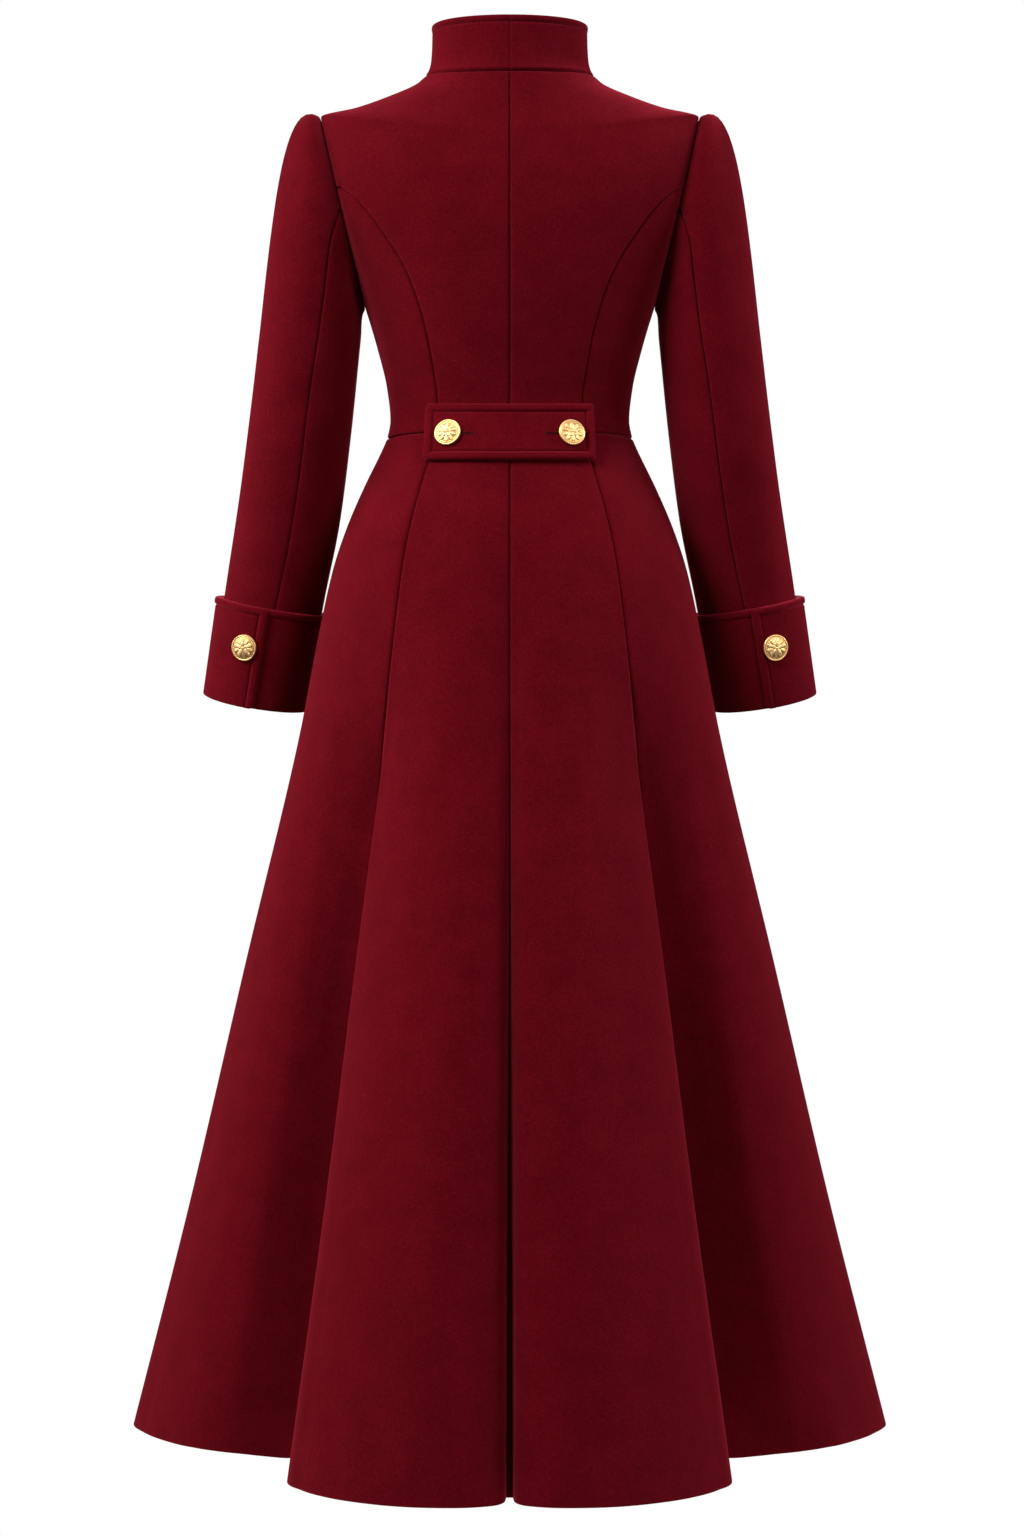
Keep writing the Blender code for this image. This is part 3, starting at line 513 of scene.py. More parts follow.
def look_up(columns, rows, name, at):
    """Smooth value of a named column, found by the table's first column."""
    knots = column(columns, rows, columns[0])
    return smooth_curve(knots, column(columns, rows, name), np.asarray(at, float))


def row_at(columns, rows, at):
    """Smooth values of all columns but the first, by which they are found."""
    return {name: look_up(columns, rows, name, at) for name in columns[1:]}


def sample(run, values, places):
    """Vectors at given places along a line."""
    return np.stack([np.interp(places, run, values[:, axis]) for axis in range(3)], axis=-1)


def smooth_step(value):
    value = np.clip(value, 0.0, 1.0)
    return value * value * (3 - 2 * value)


def round_top(off):
    """Rounded profile: 1 in the middle, 0 from a distance of 1."""
    return np.sqrt(np.clip(1 - off**2, 0, 1))


def round_off(distance, radius):
    """How far a rounded corner or edge draws in at a distance from its end."""
    return radius * (1 - round_top(np.clip(1 - distance / radius, 0, 1)))


def unit(vectors):
    return vectors / np.linalg.norm(vectors, axis=-1, keepdims=True)


def half_turn(turn):
    """A turn folded onto the left half of the coat, and the side (1 or -1) that it came from."""
    wrapped = np.mod(turn, 360.0)
    return np.where(wrapped > 180, 360 - wrapped, wrapped), np.where(wrapped > 180, -1.0, 1.0)


def oval(turn, squareness):
    """Shares of half width and of back or front reach at a turn round a ring."""
    folded, side = half_turn(turn)
    across = np.clip(np.sin(np.radians(folded)), 0, 1) ** (2 / squareness)
    along = np.cos(np.radians(folded))
    return side * across, np.sign(along) * np.abs(along) ** (2 / squareness)


# Surfaces of the coat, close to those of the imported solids

def table_ring(rows, turn, level, base):
    """Point of a ring that is worked out from a table of rings."""
    value = row_at(RING_COLUMNS, rows, level)
    across, along = oval(turn, value["squareness"])
    reach = np.where(along > 0, value["back"], value["front"])
    dip = np.where(along > 0, value["back_dip"], value["front_dip"])
    return np.stack([value["width"] * across, reach * along, base + level - dip * along**2], axis=-1)


def bodice(turn, level):
    return table_ring(BODICE_RINGS, turn, level, 0.0)


def collar(turn, rise):
    return table_ring(COLLAR_RINGS, turn, rise, NECK)


def edge_roll(turn, level):
    """How far the skirt turns in beside the pleat and the back folds."""
    roll = row_at(ROLL_COLUMNS, EDGE_ROLLS, turn)
    low = smooth_step((ROLL_CHANGE_START - level) / (ROLL_CHANGE_START - ROLL_CHANGE_END))
    depth = roll["middle"] + (roll["hem"] - roll["middle"]) * low
    return depth * smooth_step((roll["start"] - level) / ROLL_ONSET)


def skirt(turn, level):
    """Point of the skirt: a flaring oval with the folds growing towards the hem."""
    waist = dict(zip(RING_COLUMNS, BODICE_RINGS[0]))
    flare = look_up(FLARE_COLUMNS, SKIRT_FLARE, "share", level)
    ring = {name: waist[name] + flare * (end - waist[name]) for name, end in HEM_RING.items()}
    across, along = oval(turn, ring["squareness"])
    folded, side = half_turn(turn)
    hem_across, hem_along = oval(folded, HEM_RING["squareness"])
    fold = row_at(FOLD_COLUMNS, HEM_FOLDS, folded)
    share = np.clip((fold["start"] - level) / (fold["start"] - HEM), 0, 1)
    grown = share ** fold["growth"] * smooth_step(share / FOLD_ONSET)
    fold_x = fold["x"] - HEM_RING["width"] * hem_across
    fold_y = fold["y"] - np.where(hem_along > 0, HEM_RING["back"], HEM_RING["front"]) * hem_along
    x = ring["width"] * across + side * fold_x * grown
    y = np.where(along > 0, ring["back"], ring["front"]) * along + fold_y * grown - edge_roll(folded, level)
    return np.stack([x, y, level - fold["drop"] * grown], axis=-1)


def armhole_width(height):
    """Half width of the slanted armhole plane at a height."""
    share = (height - ARMPIT) / (SHOULDER - ARMPIT)
    return ARMHOLE_FOOT + share * (ARMHOLE_TOP - ARMHOLE_FOOT)


def princess_width(height):
    return look_up(PRINCESS_COLUMNS, PRINCESS_SEAM, "width", height)


def turn_where(surface, level, width_at, start, end):
    """Turn between start and end at which the surface crosses a half width given by height."""
    low = np.full(np.shape(level), float(start))
    high = np.full(np.shape(level), float(end))
    for _ in range(TURN_HALVINGS):
        middle = (low + high) / 2
        point = surface(middle, level)
        inside = point[..., 0] < width_at(point[..., 2])
        low = np.where(inside, middle, low)
        high = np.where(inside, high, middle)
    return (low + high) / 2


def outward(surface, turn, level, step_turn=0.05, step_level=1e-4):
    """Unit normals of a surface, pointing away from the wearer."""
    around = surface(turn + step_turn, level) - surface(turn - step_turn, level)
    upward = surface(turn, level + step_level) - surface(turn, level - step_level)
    return unit(np.cross(upward, around))


def sink_under_lap(points, normals):
    """Lets the lower front sink where the other front laps over it."""
    share = smooth_step((LAP_SINK_START - points[..., 0]) / (LAP_SINK_START - LAP_SINK_END))
    front = points[..., 1] < 0
    return points - normals * (LAP_SINK * share * front)[..., None]


def front_edge(surface, levels):
    """Turn of the edge of a front, past the centre."""
    return turn_where(surface, levels, lambda height: -LAP + 0 * height, *FRONT_EDGE_TURNS)


def bodice_edges(levels):
    """Turns of the princess seam and of the armhole's back and front edges at each level."""
    princess = turn_where(bodice, levels, princess_width, 0, 90)
    back = turn_where(bodice, levels, armhole_width, 0, 90)
    front = turn_where(bodice, levels, armhole_width, 180, 90)
    open_level = (levels > ARMPIT) & (levels < SHOULDER)
    return princess, np.where(open_level, back, 90.0), np.where(open_level, front, 90.0)


def princess_top():
    """Level at which the princess seam runs into the armhole."""
    low, high = PRINCESS_TOP_LEVELS
    for _ in range(LEVEL_HALVINGS):
        middle = (low + high) / 2
        princess, armhole, _ = bodice_edges(np.array([middle]))
        low, high = (middle, high) if princess[0] < armhole[0] else (low, middle)
    return low


def underlay(share, level):
    """Point of the pleat's underlay, which hangs behind the lobes of the back skirt."""
    section = row_at(UNDERLAY_COLUMNS, UNDERLAY_SECTIONS, level)
    x = share * section["width"]
    reach = np.maximum(np.abs(x), section["width"] * UNDERLAY_FLAT)
    lobe_turn = turn_where(skirt, level, lambda height: reach, 0, LOBE_END)
    lobe = skirt(lobe_turn, level)[..., 1]
    behind = UNDERLAY_OFF + section["depth"] * np.cos(np.pi / 2 * share) ** 2
    return np.stack([x, lobe - behind, level + 0 * x], axis=-1)


def armhole_loop():
    """Turns and points round the armhole: 0 at the shoulder, 90 at the back, 180 at the armpit."""
    levels = np.linspace(ARMPIT, SHOULDER, ARMHOLE_STEPS)[1:-1]
    _, back_edge, front_edge_turn = bodice_edges(levels)
    foot = bodice(np.array([90.0]), np.array([ARMPIT]))
    top = bodice(np.array([90.0]), np.array([SHOULDER]))
    loop = [top, bodice(back_edge, levels)[::-1], foot, bodice(front_edge_turn, levels)]
    points = np.concatenate(loop)
    middle = (ARMPIT + SHOULDER) / 2
    turns = np.mod(np.degrees(np.arctan2(points[:, 1], points[:, 2] - middle)), 360.0)
    turns[0] = 0.0
    order = np.argsort(turns)
    turns = np.append(turns[order], 360.0)
    return turns, np.concatenate([points[order], points[order][:1]])


ARMHOLE_TURNS, ARMHOLE_POINTS = armhole_loop()
ARMHOLE_MIDDLE = np.array([(ARMHOLE_TOP + ARMHOLE_FOOT) / 2, 0.0, (SHOULDER + ARMPIT) / 2])


def armhole_point(turn):
    return sample(ARMHOLE_TURNS, ARMHOLE_POINTS, np.mod(turn, 360.0))


def sleeve_value(name, along):
    values = column(SLEEVE_COLUMNS, SLEEVE_SECTIONS, name)
    return smooth_curve(np.arange(1.0, len(values) + 1), values, along)


def sleeve_axis(along):
    """Centre of the sleeve and its direction down the arm."""
    steps = (along, along - AXIS_STEP, along + AXIS_STEP)
    centre, before, after = [np.stack([sleeve_value(name, at) for name in "xyz"], axis=-1) for at in steps]
    return centre, unit(after - before)


def arm_ring(turn, along):
    """Point of the sleeve below its head."""
    centre, axis = sleeve_axis(along)
    side = np.zeros_like(axis)
    side[..., 0] = 1.0
    out = unit(side - axis * axis[..., :1])
    back = np.cross(out, axis)
    angle = np.radians(turn)
    width = (sleeve_value("width", along) * np.cos(angle))[..., None]
    depth = (sleeve_value("depth", along) * np.sin(angle))[..., None]
    return centre + out * width + back * depth


def sleeve(turn, along):
    """Point of the sleeve: its head from 0 (armhole) to 1, then the arm down to the wrist."""
    turn, along = np.broadcast_arrays(np.asarray(turn, float), np.asarray(along, float))
    start = armhole_point(turn)
    low = np.maximum(along, 1.0)
    below = arm_ring(turn, low)
    end = arm_ring(turn, np.ones_like(along))
    length = np.linalg.norm(end - start, axis=-1, keepdims=True)
    angle = np.radians(turn)
    radial = np.stack([0 * angle, np.sin(angle), np.cos(angle)], axis=-1)
    rise = unit(HEAD_OUTWARD * np.array([1.0, 0.0, 0.0]) + HEAD_RADIAL * radial)
    first = start + rise * length * HEAD_RISE
    last = end - sleeve_axis(np.ones_like(along))[1] * length * HEAD_FALL
    t = np.clip(along, 0.0, 1.0)[..., None]
    head = start * (1 - t) ** 3 + first * 3 * t * (1 - t) ** 2 + last * 3 * t * t * (1 - t) + end * t**3
    return np.where(t < 1, head, below)


def cuff_wind(turn):
    """How far the cuff has wound out towards its lap."""
    whole = CUFF_OVER_END - CUFF_UNDER_END - 2 * CUFF_WIND_EASE
    return (CUFF_CLOTH + CUFF_LAP_GAP) * smooth_step((turn - CUFF_UNDER_END - CUFF_WIND_EASE) / whole)


def cuff(turn, along):
    """Point of the cuff's outer face: the sleeve moved out, winding onto itself towards its lap."""
    share = (along - CUFF_START) / (SLEEVE_END - CUFF_START)
    off = CUFF_OFF + CUFF_CLOTH + cuff_wind(turn)
    fall = CUFF_TOP_FALL * (1 - np.sin(np.radians(turn))) / 2 * (1 - share)
    along = along + fall * CUFF_STEPS
    return sleeve(turn, along) + outward(sleeve, turn, along) * off[..., None]


def cuff_face(turn, along):
    """Point and normal of the cuff's outer face."""
    return cuff(turn, along), outward(cuff, turn, along)


def cuff_thickness(turn):
    """Thickness of the folded cuff, which fills the way to the sleeve up to where it laps over itself."""
    lapped = smooth_step((turn - CUFF_UNDER_END - 360) / CUFF_LAP_EASE)
    return CUFF_CLOTH + (cuff_wind(turn) + CUFF_OFF * CUFF_FILL) * (1 - lapped)


def back_point(surface, x, level):
    """Point of the coat's back at a distance from the centre and at a level."""
    turn = turn_where(surface, level, lambda height: np.abs(x), 0, BACK_END)
    point = surface(turn, level)
    return np.stack([x, point[..., 1], point[..., 2]], axis=-1)


def belt(across, up):
    """Point of the belt's inner face; across runs from -1 to 1 and up from 0 to 1."""
    foot = back_point(skirt, across * BELT_HALF_FOOT, BELT_FOOT - BELT_FOOT_BOW * (1 - across**2))
    top = back_point(bodice, across * BELT_HALF_TOP, BELT_TOP - BELT_TOP_BOW * (1 - across**2))
    return foot + (top - foot) * up[..., None]


def belt_face(across, up):
    """Point and normal of the belt's outer face."""
    sideways = belt(across + BELT_STEP, up) - belt(across - BELT_STEP, up)
    upward = belt(across, up + BELT_STEP) - belt(across, up - BELT_STEP)
    normal = unit(np.cross(upward, sideways))
    return belt(across, up) + normal * (BELT_OFF + BELT_CLOTH), normal


def flipped(face, flip):
    """Points and normals of the wearer's left, turned onto a side of the coat."""
    return [vectors * flip for vectors in face]


# Fine grids over the surfaces

def run_along(points, axis):
    """Distance run along the rows or columns of a grid, from its first edge."""
    steps = np.linalg.norm(np.diff(points, axis=axis), axis=-1)
    start = np.zeros_like(np.take(steps, [0], axis=axis))
    return np.concatenate([start, np.cumsum(steps, axis=axis)], axis=axis)


def shares_along(length, spacing, first_steps, last_steps):
    """Places from 0 to 1 along a length, with the given narrow steps beside its two ends."""
    first = np.array(first_steps)
    last = length - np.array(last_steps)[::-1]
    count = max(2, int(round((last[0] - first[-1]) / spacing)))
    middle = np.linspace(first[-1], last[0], count + 1)[1:-1]
    return np.concatenate([first, middle, last]) / length


def spread_levels(surface, breaks, turns, spacing, first_steps=EDGE_STEPS, last_steps=EDGE_STEPS):
    """Levels of the rows of a panel, even along the surface and closer together at each break."""
    rows = []
    for low, high in zip(breaks, breaks[1:]):
        levels = np.linspace(low, high, LEVEL_SWEEP)
        turn, level = np.meshgrid(np.array(turns, float), levels)
        run = run_along(surface(turn, level), 0)
        longest = run[:, np.argmax(run[-1])]
        first = first_steps if low == breaks[0] else BREAK_STEPS
        last = last_steps if high == breaks[-1] else BREAK_STEPS
        places = shares_along(longest[-1], spacing, first, last)
        rows.append(np.interp(places * longest[-1], longest, levels))
    return np.unique(np.concatenate(rows))


def spread_turns(surface, first, last, levels, spacing, first_steps=EDGE_STEPS, last_steps=EDGE_STEPS):
    """Turns and levels of a panel between two lines of turns, with columns even along the surface."""
    first = first + np.zeros_like(levels)
    last = last + np.zeros_like(levels)
    turn = first[:, None] + (last - first)[:, None] * np.linspace(0, 1, SWEEP)
    run = run_along(surface(turn, levels[:, None] + 0 * turn), 1)
    places = shares_along(run[:, -1].max(), spacing, first_steps, last_steps)
    spread = [np.interp(places * row_run[-1], row_run, row_turn) for row_run, row_turn in zip(run, turn)]
    turn = np.stack(spread)
    return turn, levels[:, None] + 0 * turn


def spread_panel(surface, first, last, levels, spacing):
    """Points of a panel between two lines of turns."""
    return surface(*spread_turns(surface, first, last, levels, spacing))


def grid_normals(points):
    """Unit normals of a grid of points, pointing away from the wearer."""
    return unit(np.cross(np.gradient(points, axis=0), np.gradient(points, axis=1)))


def slant(edge, inside):
    """Sine of the angle between an edge and the grid lines that run into it."""
    return np.linalg.norm(np.cross(unit(np.gradient(edge, axis=0)), unit(inside - edge)), axis=-1)


def edge_distances(points):
    """Distance of each point of a grid from its first and last column and from its first and last row."""
    across = run_along(points, 1)
    up = run_along(points, 0)
    return {
        "first": across * slant(points[:, 0], points[:, 1])[:, None],
        "last": (across[:, -1:] - across) * slant(points[:, -1], points[:, -2])[:, None],
        "foot": up * slant(points[0], points[1])[None],
        "top": (up[-1:] - up) * slant(points[-1], points[-2])[None],
    }


# Cloth form: creases, seams, rounded edges and borders

def crease_height(points, normals):
    """Height of the soft creases that run over a grid."""
    height = np.zeros(points.shape[:-1])
    flat = points[..., [0, 2]]
    for face, x1, z1, x2, z2, width, depth in CREASES:
        start = np.array([x1, z1])
        way = np.array([x2, z2]) - start
        along = ((flat - start) @ way) / (way @ way)
        off = flat - start - np.clip(along, 0, 1)[..., None] * way
        near = np.exp(-((off**2).sum(-1)) / width**2)
        inside = np.clip(along * (1 - 2 * CREASE_END) + CREASE_END, 0, 1)
        taper = np.sin(np.pi * inside) ** CREASE_TAPER
        height += depth * near * taper * smooth_step(face * normals[..., 1] / CREASE_FACING)
    return height


def on_armhole(line):
    """Which points of a line lie on the armhole."""
    height = line[..., 2]
    level = (height > ARMPIT - ARMHOLE_NEAR_HEIGHT) & (height < SHOULDER + ARMHOLE_NEAR_HEIGHT)
    return level & (np.abs(line[..., 0] - armhole_width(height)) < ARMHOLE_NEAR_WIDTH)


def towards_wearer(points):
    """Directions from points of the bodice or the skirt to the coat's middle, level below the chest."""
    middle = np.zeros_like(points)
    middle[..., 2] = np.minimum(points[..., 2], CHEST)
    return unit(middle - points)


def armhole_sink(points):
    """How far the cloth sinks in beside the armhole."""
    off = np.full(points.shape[:-1], ARMHOLE_ROLL)
    for point in ARMHOLE_POINTS:
        off = np.minimum(off, np.linalg.norm(points - point, axis=-1))
    height = points[..., 2]
    fade = smooth_step((height - ARMPIT) / ARMHOLE_FADE) * smooth_step((SHOULDER - height) / ARMHOLE_FADE)
    return ARMHOLE_DROP * fade * (1 - off / ARMHOLE_ROLL) ** 2


def turn_into_seams(points, inward, seams):
    """Lets the edges of a panel turn down into their seams, at an armhole within its plane."""
    distance = edge_distances(points)
    lines = {"first": points[:, :1], "last": points[:, -1:], "foot": points[:1], "top": points[-1:]}
    into_armhole = unit(ARMHOLE_MIDDLE - points)
    deepest = np.zeros(points.shape[:-1])
    moved = np.zeros_like(points)
    for edge in seams:
        depth = SEAM_DROP * np.clip(1 - distance[edge] / SEAM_ROLL, 0, 1) ** 3
        if edge in ("first", "last") and "top" in seams:
            depth = depth * smooth_step(distance["top"] / SEAM_ROLL)  # leaves no notch in the seam above
        way = np.where(on_armhole(lines[edge])[..., None], into_armhole, inward)
        moved = np.where((depth > deepest)[..., None], way * depth[..., None], moved)
        deepest = np.maximum(depth, deepest)
    return points + moved + into_armhole * armhole_sink(points)[..., None]


def edge_round(distance, thickness):
    """How far each face of a wall draws in towards its middle at a rounded edge."""
    return EDGE_ROUNDNESS * round_off(distance, thickness / 2)


def border_height(distance, width=BORDER, rise=BORDER_RISE):
    """Height of a topstitched border: a soft roll along the edge and a groove under the stitches."""
    across = np.clip(2 * distance / width - 1, -1, 1)
    roll = rise * (1 - across**4)
    groove = STITCH_GROOVE * np.exp(-(((distance - width) / STITCH_GROOVE_WIDTH) ** 2))
    return roll * (distance < width) - groove


def wall_faces(rows, columns, flip):
    """Quads of a closed wall: an outer grid, an inner grid behind it and the rim between them."""
    corner = (np.arange(rows - 1)[:, None] * columns + np.arange(columns - 1)).ravel()
    outer = np.stack([corner, corner + 1, corner + columns + 1, corner + columns], axis=-1)
    behind = rows * columns
    foot = np.arange(columns)
    right = np.arange(1, rows) * columns + columns - 1
    top = (rows - 1) * columns + np.arange(columns - 1)[::-1]
    left = np.arange(rows - 1)[::-1] * columns
    loop = np.concatenate([foot, right, top, left])
    start, end = loop[:-1], loop[1:]
    rim = np.stack([start, start + behind, end + behind, end], axis=-1)
    faces = np.concatenate([outer, outer[:, ::-1] + behind, rim])
    return faces[:, ::-1] if flip else faces


def new_object(name, data):
    item = bpy.data.objects.new(name, data)
    bpy.context.scene.collection.objects.link(item)
    return item


def add_mesh(name, vertices, faces, material):
    mesh = bpy.data.meshes.new(name)
    mesh.from_pydata(vertices.tolist(), [], faces)
    mesh.shade_smooth()
    mesh.materials.append(material)
    piece = new_object(name, mesh)
    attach(piece, "root")
    return piece


def add_cloth(node, outer, inner, material):
    rows, columns = outer.shape[:2]
    steps = np.cross(np.diff(outer, axis=1)[:-1], np.diff(outer, axis=0)[:, :-1])
    facing = (steps * (outer - inner)[:-1, :-1]).sum()
    vertices = np.concatenate([outer.reshape(-1, 3), inner.reshape(-1, 3)])
    faces = wall_faces(rows, columns, facing < 0).tolist()
    piece = add_mesh(f"{node}_cloth", vertices, faces, material)
    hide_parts(node)


def cloth_faces(points, normals, thickness, open_edges, raised=0.0):
    """Outer and inner face of a cloth wall with creases and rounded open edges."""
    distance = edge_distances(points)
    crease = crease_height(points, normals)
    thinnest = np.min(thickness)
    draw_in = sum(edge_round(distance[edge], thinnest) for edge in open_edges)
    outer = points + normals * (crease - draw_in + raised)[..., None]
    inner = points + normals * (crease - thickness + draw_in)[..., None]
    return outer, inner


def add_twins(name, points, thickness, seams, open_edges, material, raised=0.0,
              lapped=False):
    """Adds a panel of the wearer's left and its twin, which lies on top where the two lap."""
    normals = grid_normals(points)
    inward = towards_wearer(points) if name.endswith(("bodice", "skirt")) else -normals
    turned = turn_into_seams(points, inward, seams) if seams else points
    for side, flip in SIDES:
        base = sink_under_lap(turned, normals) if lapped and side == "left" else turned
        outer, inner = cloth_faces(base * flip, normals * flip, thickness, open_edges, raised)
        add_cloth(f"{name}_{side}", outer, inner, material)


# Panels

def add_bodice(wool):
    corner = princess_top()
    levels = spread_levels(bodice, (WAIST, ARMPIT, corner, SHOULDER, NECK), (0, 45, 90), SPACING)
    princess, armhole_back, armhole_front = bodice_edges(levels)
    back_edge = np.where(levels < corner, np.minimum(princess, armhole_back), armhole_back)
    back = spread_panel(bodice, 0.0, back_edge, levels, SPACING)
    add_twins("back_bodice", back, CLOTH, ("first", "last", "foot", "top"), (), wool)
    front = spread_panel(bodice, armhole_front, front_edge(bodice, levels), levels, SPACING)
    seams = ("first", "foot", "top")
    add_twins("front_bodice", front, CLOTH, seams, ("last",), wool, lapped=True)
    levels = spread_levels(bodice, (WAIST, ARMPIT, corner - CLEARANCE), (45, 90), SPACING)
    princess, armhole_back, _ = bodice_edges(levels)
    side = spread_panel(bodice, princess, armhole_back, levels, SPACING)
    add_twins("side_back_bodice", side, CLOTH, ("first", "last", "foot"), (), wool)


def add_skirt(wool):
    levels = spread_levels(skirt, (HEM, WAIST), (20, 90), SPACING)
    seams = ("first", "last", "top")
    back = spread_panel(skirt, 0.0, PRINCESS_TURN, levels, SPACING)
    add_twins("back_skirt", back, CLOTH, seams, ("foot",), wool)
    side = spread_panel(skirt, PRINCESS_TURN, 90.0, levels, SPACING)
    add_twins("side_back_skirt", side, CLOTH, seams, ("foot",), wool)
    front = spread_panel(skirt, 90.0, front_edge(skirt, levels), levels, SPACING)
    seams = ("first", "top")
    edges = ("last", "foot")
    add_twins("front_skirt", front, CLOTH, seams, edges, wool, lapped=True)


def add_underlay(wool):
    levels = spread_levels(underlay, (HEM, UNDERLAY_TOP), (0,), SPACING)
    points = spread_panel(underlay, -1.0, 1.0, levels, SPACING)
    outer, inner = cloth_faces(points, grid_normals(points), CLOTH, ("first", "last", "foot", "top"))
    add_cloth("pleat_underlay", outer, inner, wool)


def add_sleeves(wool):
    steps = spread_levels(sleeve, (0.0, 1.0, SLEEVE_END), (0, 90), SPACING)
    seam = row_at(SLEEVE_SEAM_COLUMNS, SLEEVE_SEAMS, steps)
    seams = ("first", "last", "foot")
    upper = spread_panel(sleeve, seam["front"] - 360, seam["back"], steps, SPACING)
    add_twins("upper_sleeve", upper, CLOTH, seams, ("top",), wool)
    under = spread_panel(sleeve, seam["back"], seam["front"], steps, SPACING)
    add_twins("under_sleeve", under, CLOTH, seams, ("top",), wool)


def cuff_places(turn, along):
    """Distances of a place on the cuff from its top edge and from the end of its lap."""
    return (along - CUFF_START) / CUFF_STEPS, (CUFF_OVER_END - turn) / CUFF_TURNS


def round_lap(turn, along):
    """Draws the end of the lap in at its rounded corners."""
    from_top, from_end = cuff_places(turn, along)
    cut = round_off(np.minimum(from_top, CUFF_LENGTH - from_top), CUFF_CORNER)
    return turn - cut * np.clip(1 - from_end / CUFF_CORNER_REACH, 0, 1) * CUFF_TURNS


def add_cuffs(wool, thread):
    steps = spread_levels(cuff, (CUFF_START, SLEEVE_END), (0, 90), FINE_SPACING, BORDER_STEPS)
    ends = (CUFF_UNDER_END, CUFF_OVER_END)
    turn, along = spread_turns(cuff, *ends, steps, FINE_SPACING, last_steps=BORDER_STEPS)
    raised = border_height(np.minimum(*cuff_places(turn, along)))
    points = cuff(round_lap(turn, along), along)
    edges = ("first", "last", "foot", "top")
    add_twins("cuff", points, cuff_thickness(turn), (), edges, wool, raised=raised)
    add_cuff_sewing(thread)


def add_cuff_sewing(thread):
    """Topstitching along the top edge and the lap of each cuff, and its buttonhole."""
    inset = CUFF_START + BORDER * CUFF_STEPS
    lap = CUFF_OVER_END - BORDER * CUFF_TURNS
    top_line = cuff_face(np.linspace(lap - 360, lap, SWEEP), np.full(SWEEP, inset))
    lap_line = cuff_face(np.full(SWEEP, lap), np.linspace(inset, SLEEVE_END, SWEEP))
    hole_turns = CUFF_BUTTON_TURN + 360 - np.linspace(0, CUFF_BUTTONHOLE, SWEEP) * CUFF_TURNS
    hole = cuff_face(hole_turns, np.full(SWEEP, CUFF_BUTTON_ALONG))
    for side, flip in SIDES:
        routes = [flipped(line, flip) for line in (top_line, lap_line)]
        add_stitching(f"cuff_stitching_{side}", routes, thread)
        add_buttonhole(f"cuff_buttonhole_{side}", *flipped(hole, flip), thread)


def add_collar(wool, thread):
    foot = COLLAR_RINGS[0][0]
    rises = spread_levels(collar, (foot, COLLAR_TOP), (0,), FINE_SPACING, last_steps=BORDER_STEPS)
    points = spread_panel(collar, 0.0, front_edge(collar, rises), rises, FINE_SPACING)
    distance = edge_distances(points)
    raised = border_height(distance["top"], COLLAR_BORDER, COLLAR_BORDER_RISE)
    raised = raised - COLLAR_SEAM_DROP * np.clip(1 - distance["first"] / SEAM_ROLL, 0, 1) ** 3
    edges = ("last", "top")
    add_twins("collar", points, COLLAR_CLOTH, ("foot",), edges, wool, raised,
              lapped=True)
    rise = np.full(SWEEP, COLLAR_TOP - COLLAR_BORDER)
    turns = np.linspace(0, 1, SWEEP) * front_edge(collar, rise)
    points = collar(turns, rise)
    normals = outward(collar, turns, rise)
    for side, flip in SIDES:
        base = sink_under_lap(points, normals) if side == "left" else points
        add_stitching(f"collar_stitching_{side}", [flipped((base, normals), flip)], thread)


def belt_inside(across, up):
    """Distance from the rounded outline of the belt."""
    half = np.array([BELT_HALF_TOP, BELT_HEIGHT / 2])
    place = np.stack([np.abs(across) * BELT_HALF_TOP, np.abs(up - 0.5) * BELT_HEIGHT], axis=-1)
    over = place - half + BELT_CORNER
    corner = np.linalg.norm(np.maximum(over, 0), axis=-1)
    return BELT_CORNER - corner - np.minimum(over.max(axis=-1), 0)


def belt_outline(inset):
    """Shares across and up of a closed line inside the belt's edge."""
    wide = 1 - inset / BELT_HALF_TOP
    low = inset / BELT_HEIGHT
    corners = np.array([(-wide, low), (wide, low), (wide, 1 - low), (-wide, 1 - low), (-wide, low)])
    line = np.concatenate([np.linspace(start, end, SWEEP) for start, end in zip(corners, corners[1:])])
    return line[:, 0], line[:, 1]


def slit_height(across, up):
    """Depth of the two buttonhole slits of the belt."""
    x = np.abs(across) * BELT_HALF_TOP
    off = (up - BELT_BUTTON_UP) * BELT_HEIGHT
    end = smooth_step((x - BELT_BUTTON_X + BUTTONHOLE) / SLIT_WIDTH)
    inside = end * smooth_step((BELT_BUTTON_X - x) / SLIT_WIDTH)
    return -SLIT_DEPTH * inside * np.exp(-((off / SLIT_WIDTH) ** 4))


def belt_grid():
    """Shares across and up of the belt's grid, close together at its edges and slits."""
    low_length = BELT_HEIGHT * BELT_BUTTON_UP
    low_rows = BELT_BUTTON_UP * shares_along(low_length, FINE_SPACING, BORDER_STEPS, SLIT_STEPS)
    above = 1 - BELT_BUTTON_UP
    high_rows = 1 - above * shares_along(BELT_HEIGHT * above, FINE_SPACING, BORDER_STEPS, SLIT_STEPS)
    rows = np.concatenate([low_rows, high_rows[-2::-1]])
    columns = shares_along(2 * BELT_HALF_TOP, BELT_SPACING, BORDER_STEPS, BORDER_STEPS) * 2 - 1
    reach = 1 - round_off(np.minimum(rows, 1 - rows) * BELT_HEIGHT, BELT_CORNER) / BELT_HALF_TOP
    return reach[:, None] * columns, np.repeat(rows[:, None], len(columns), axis=1)


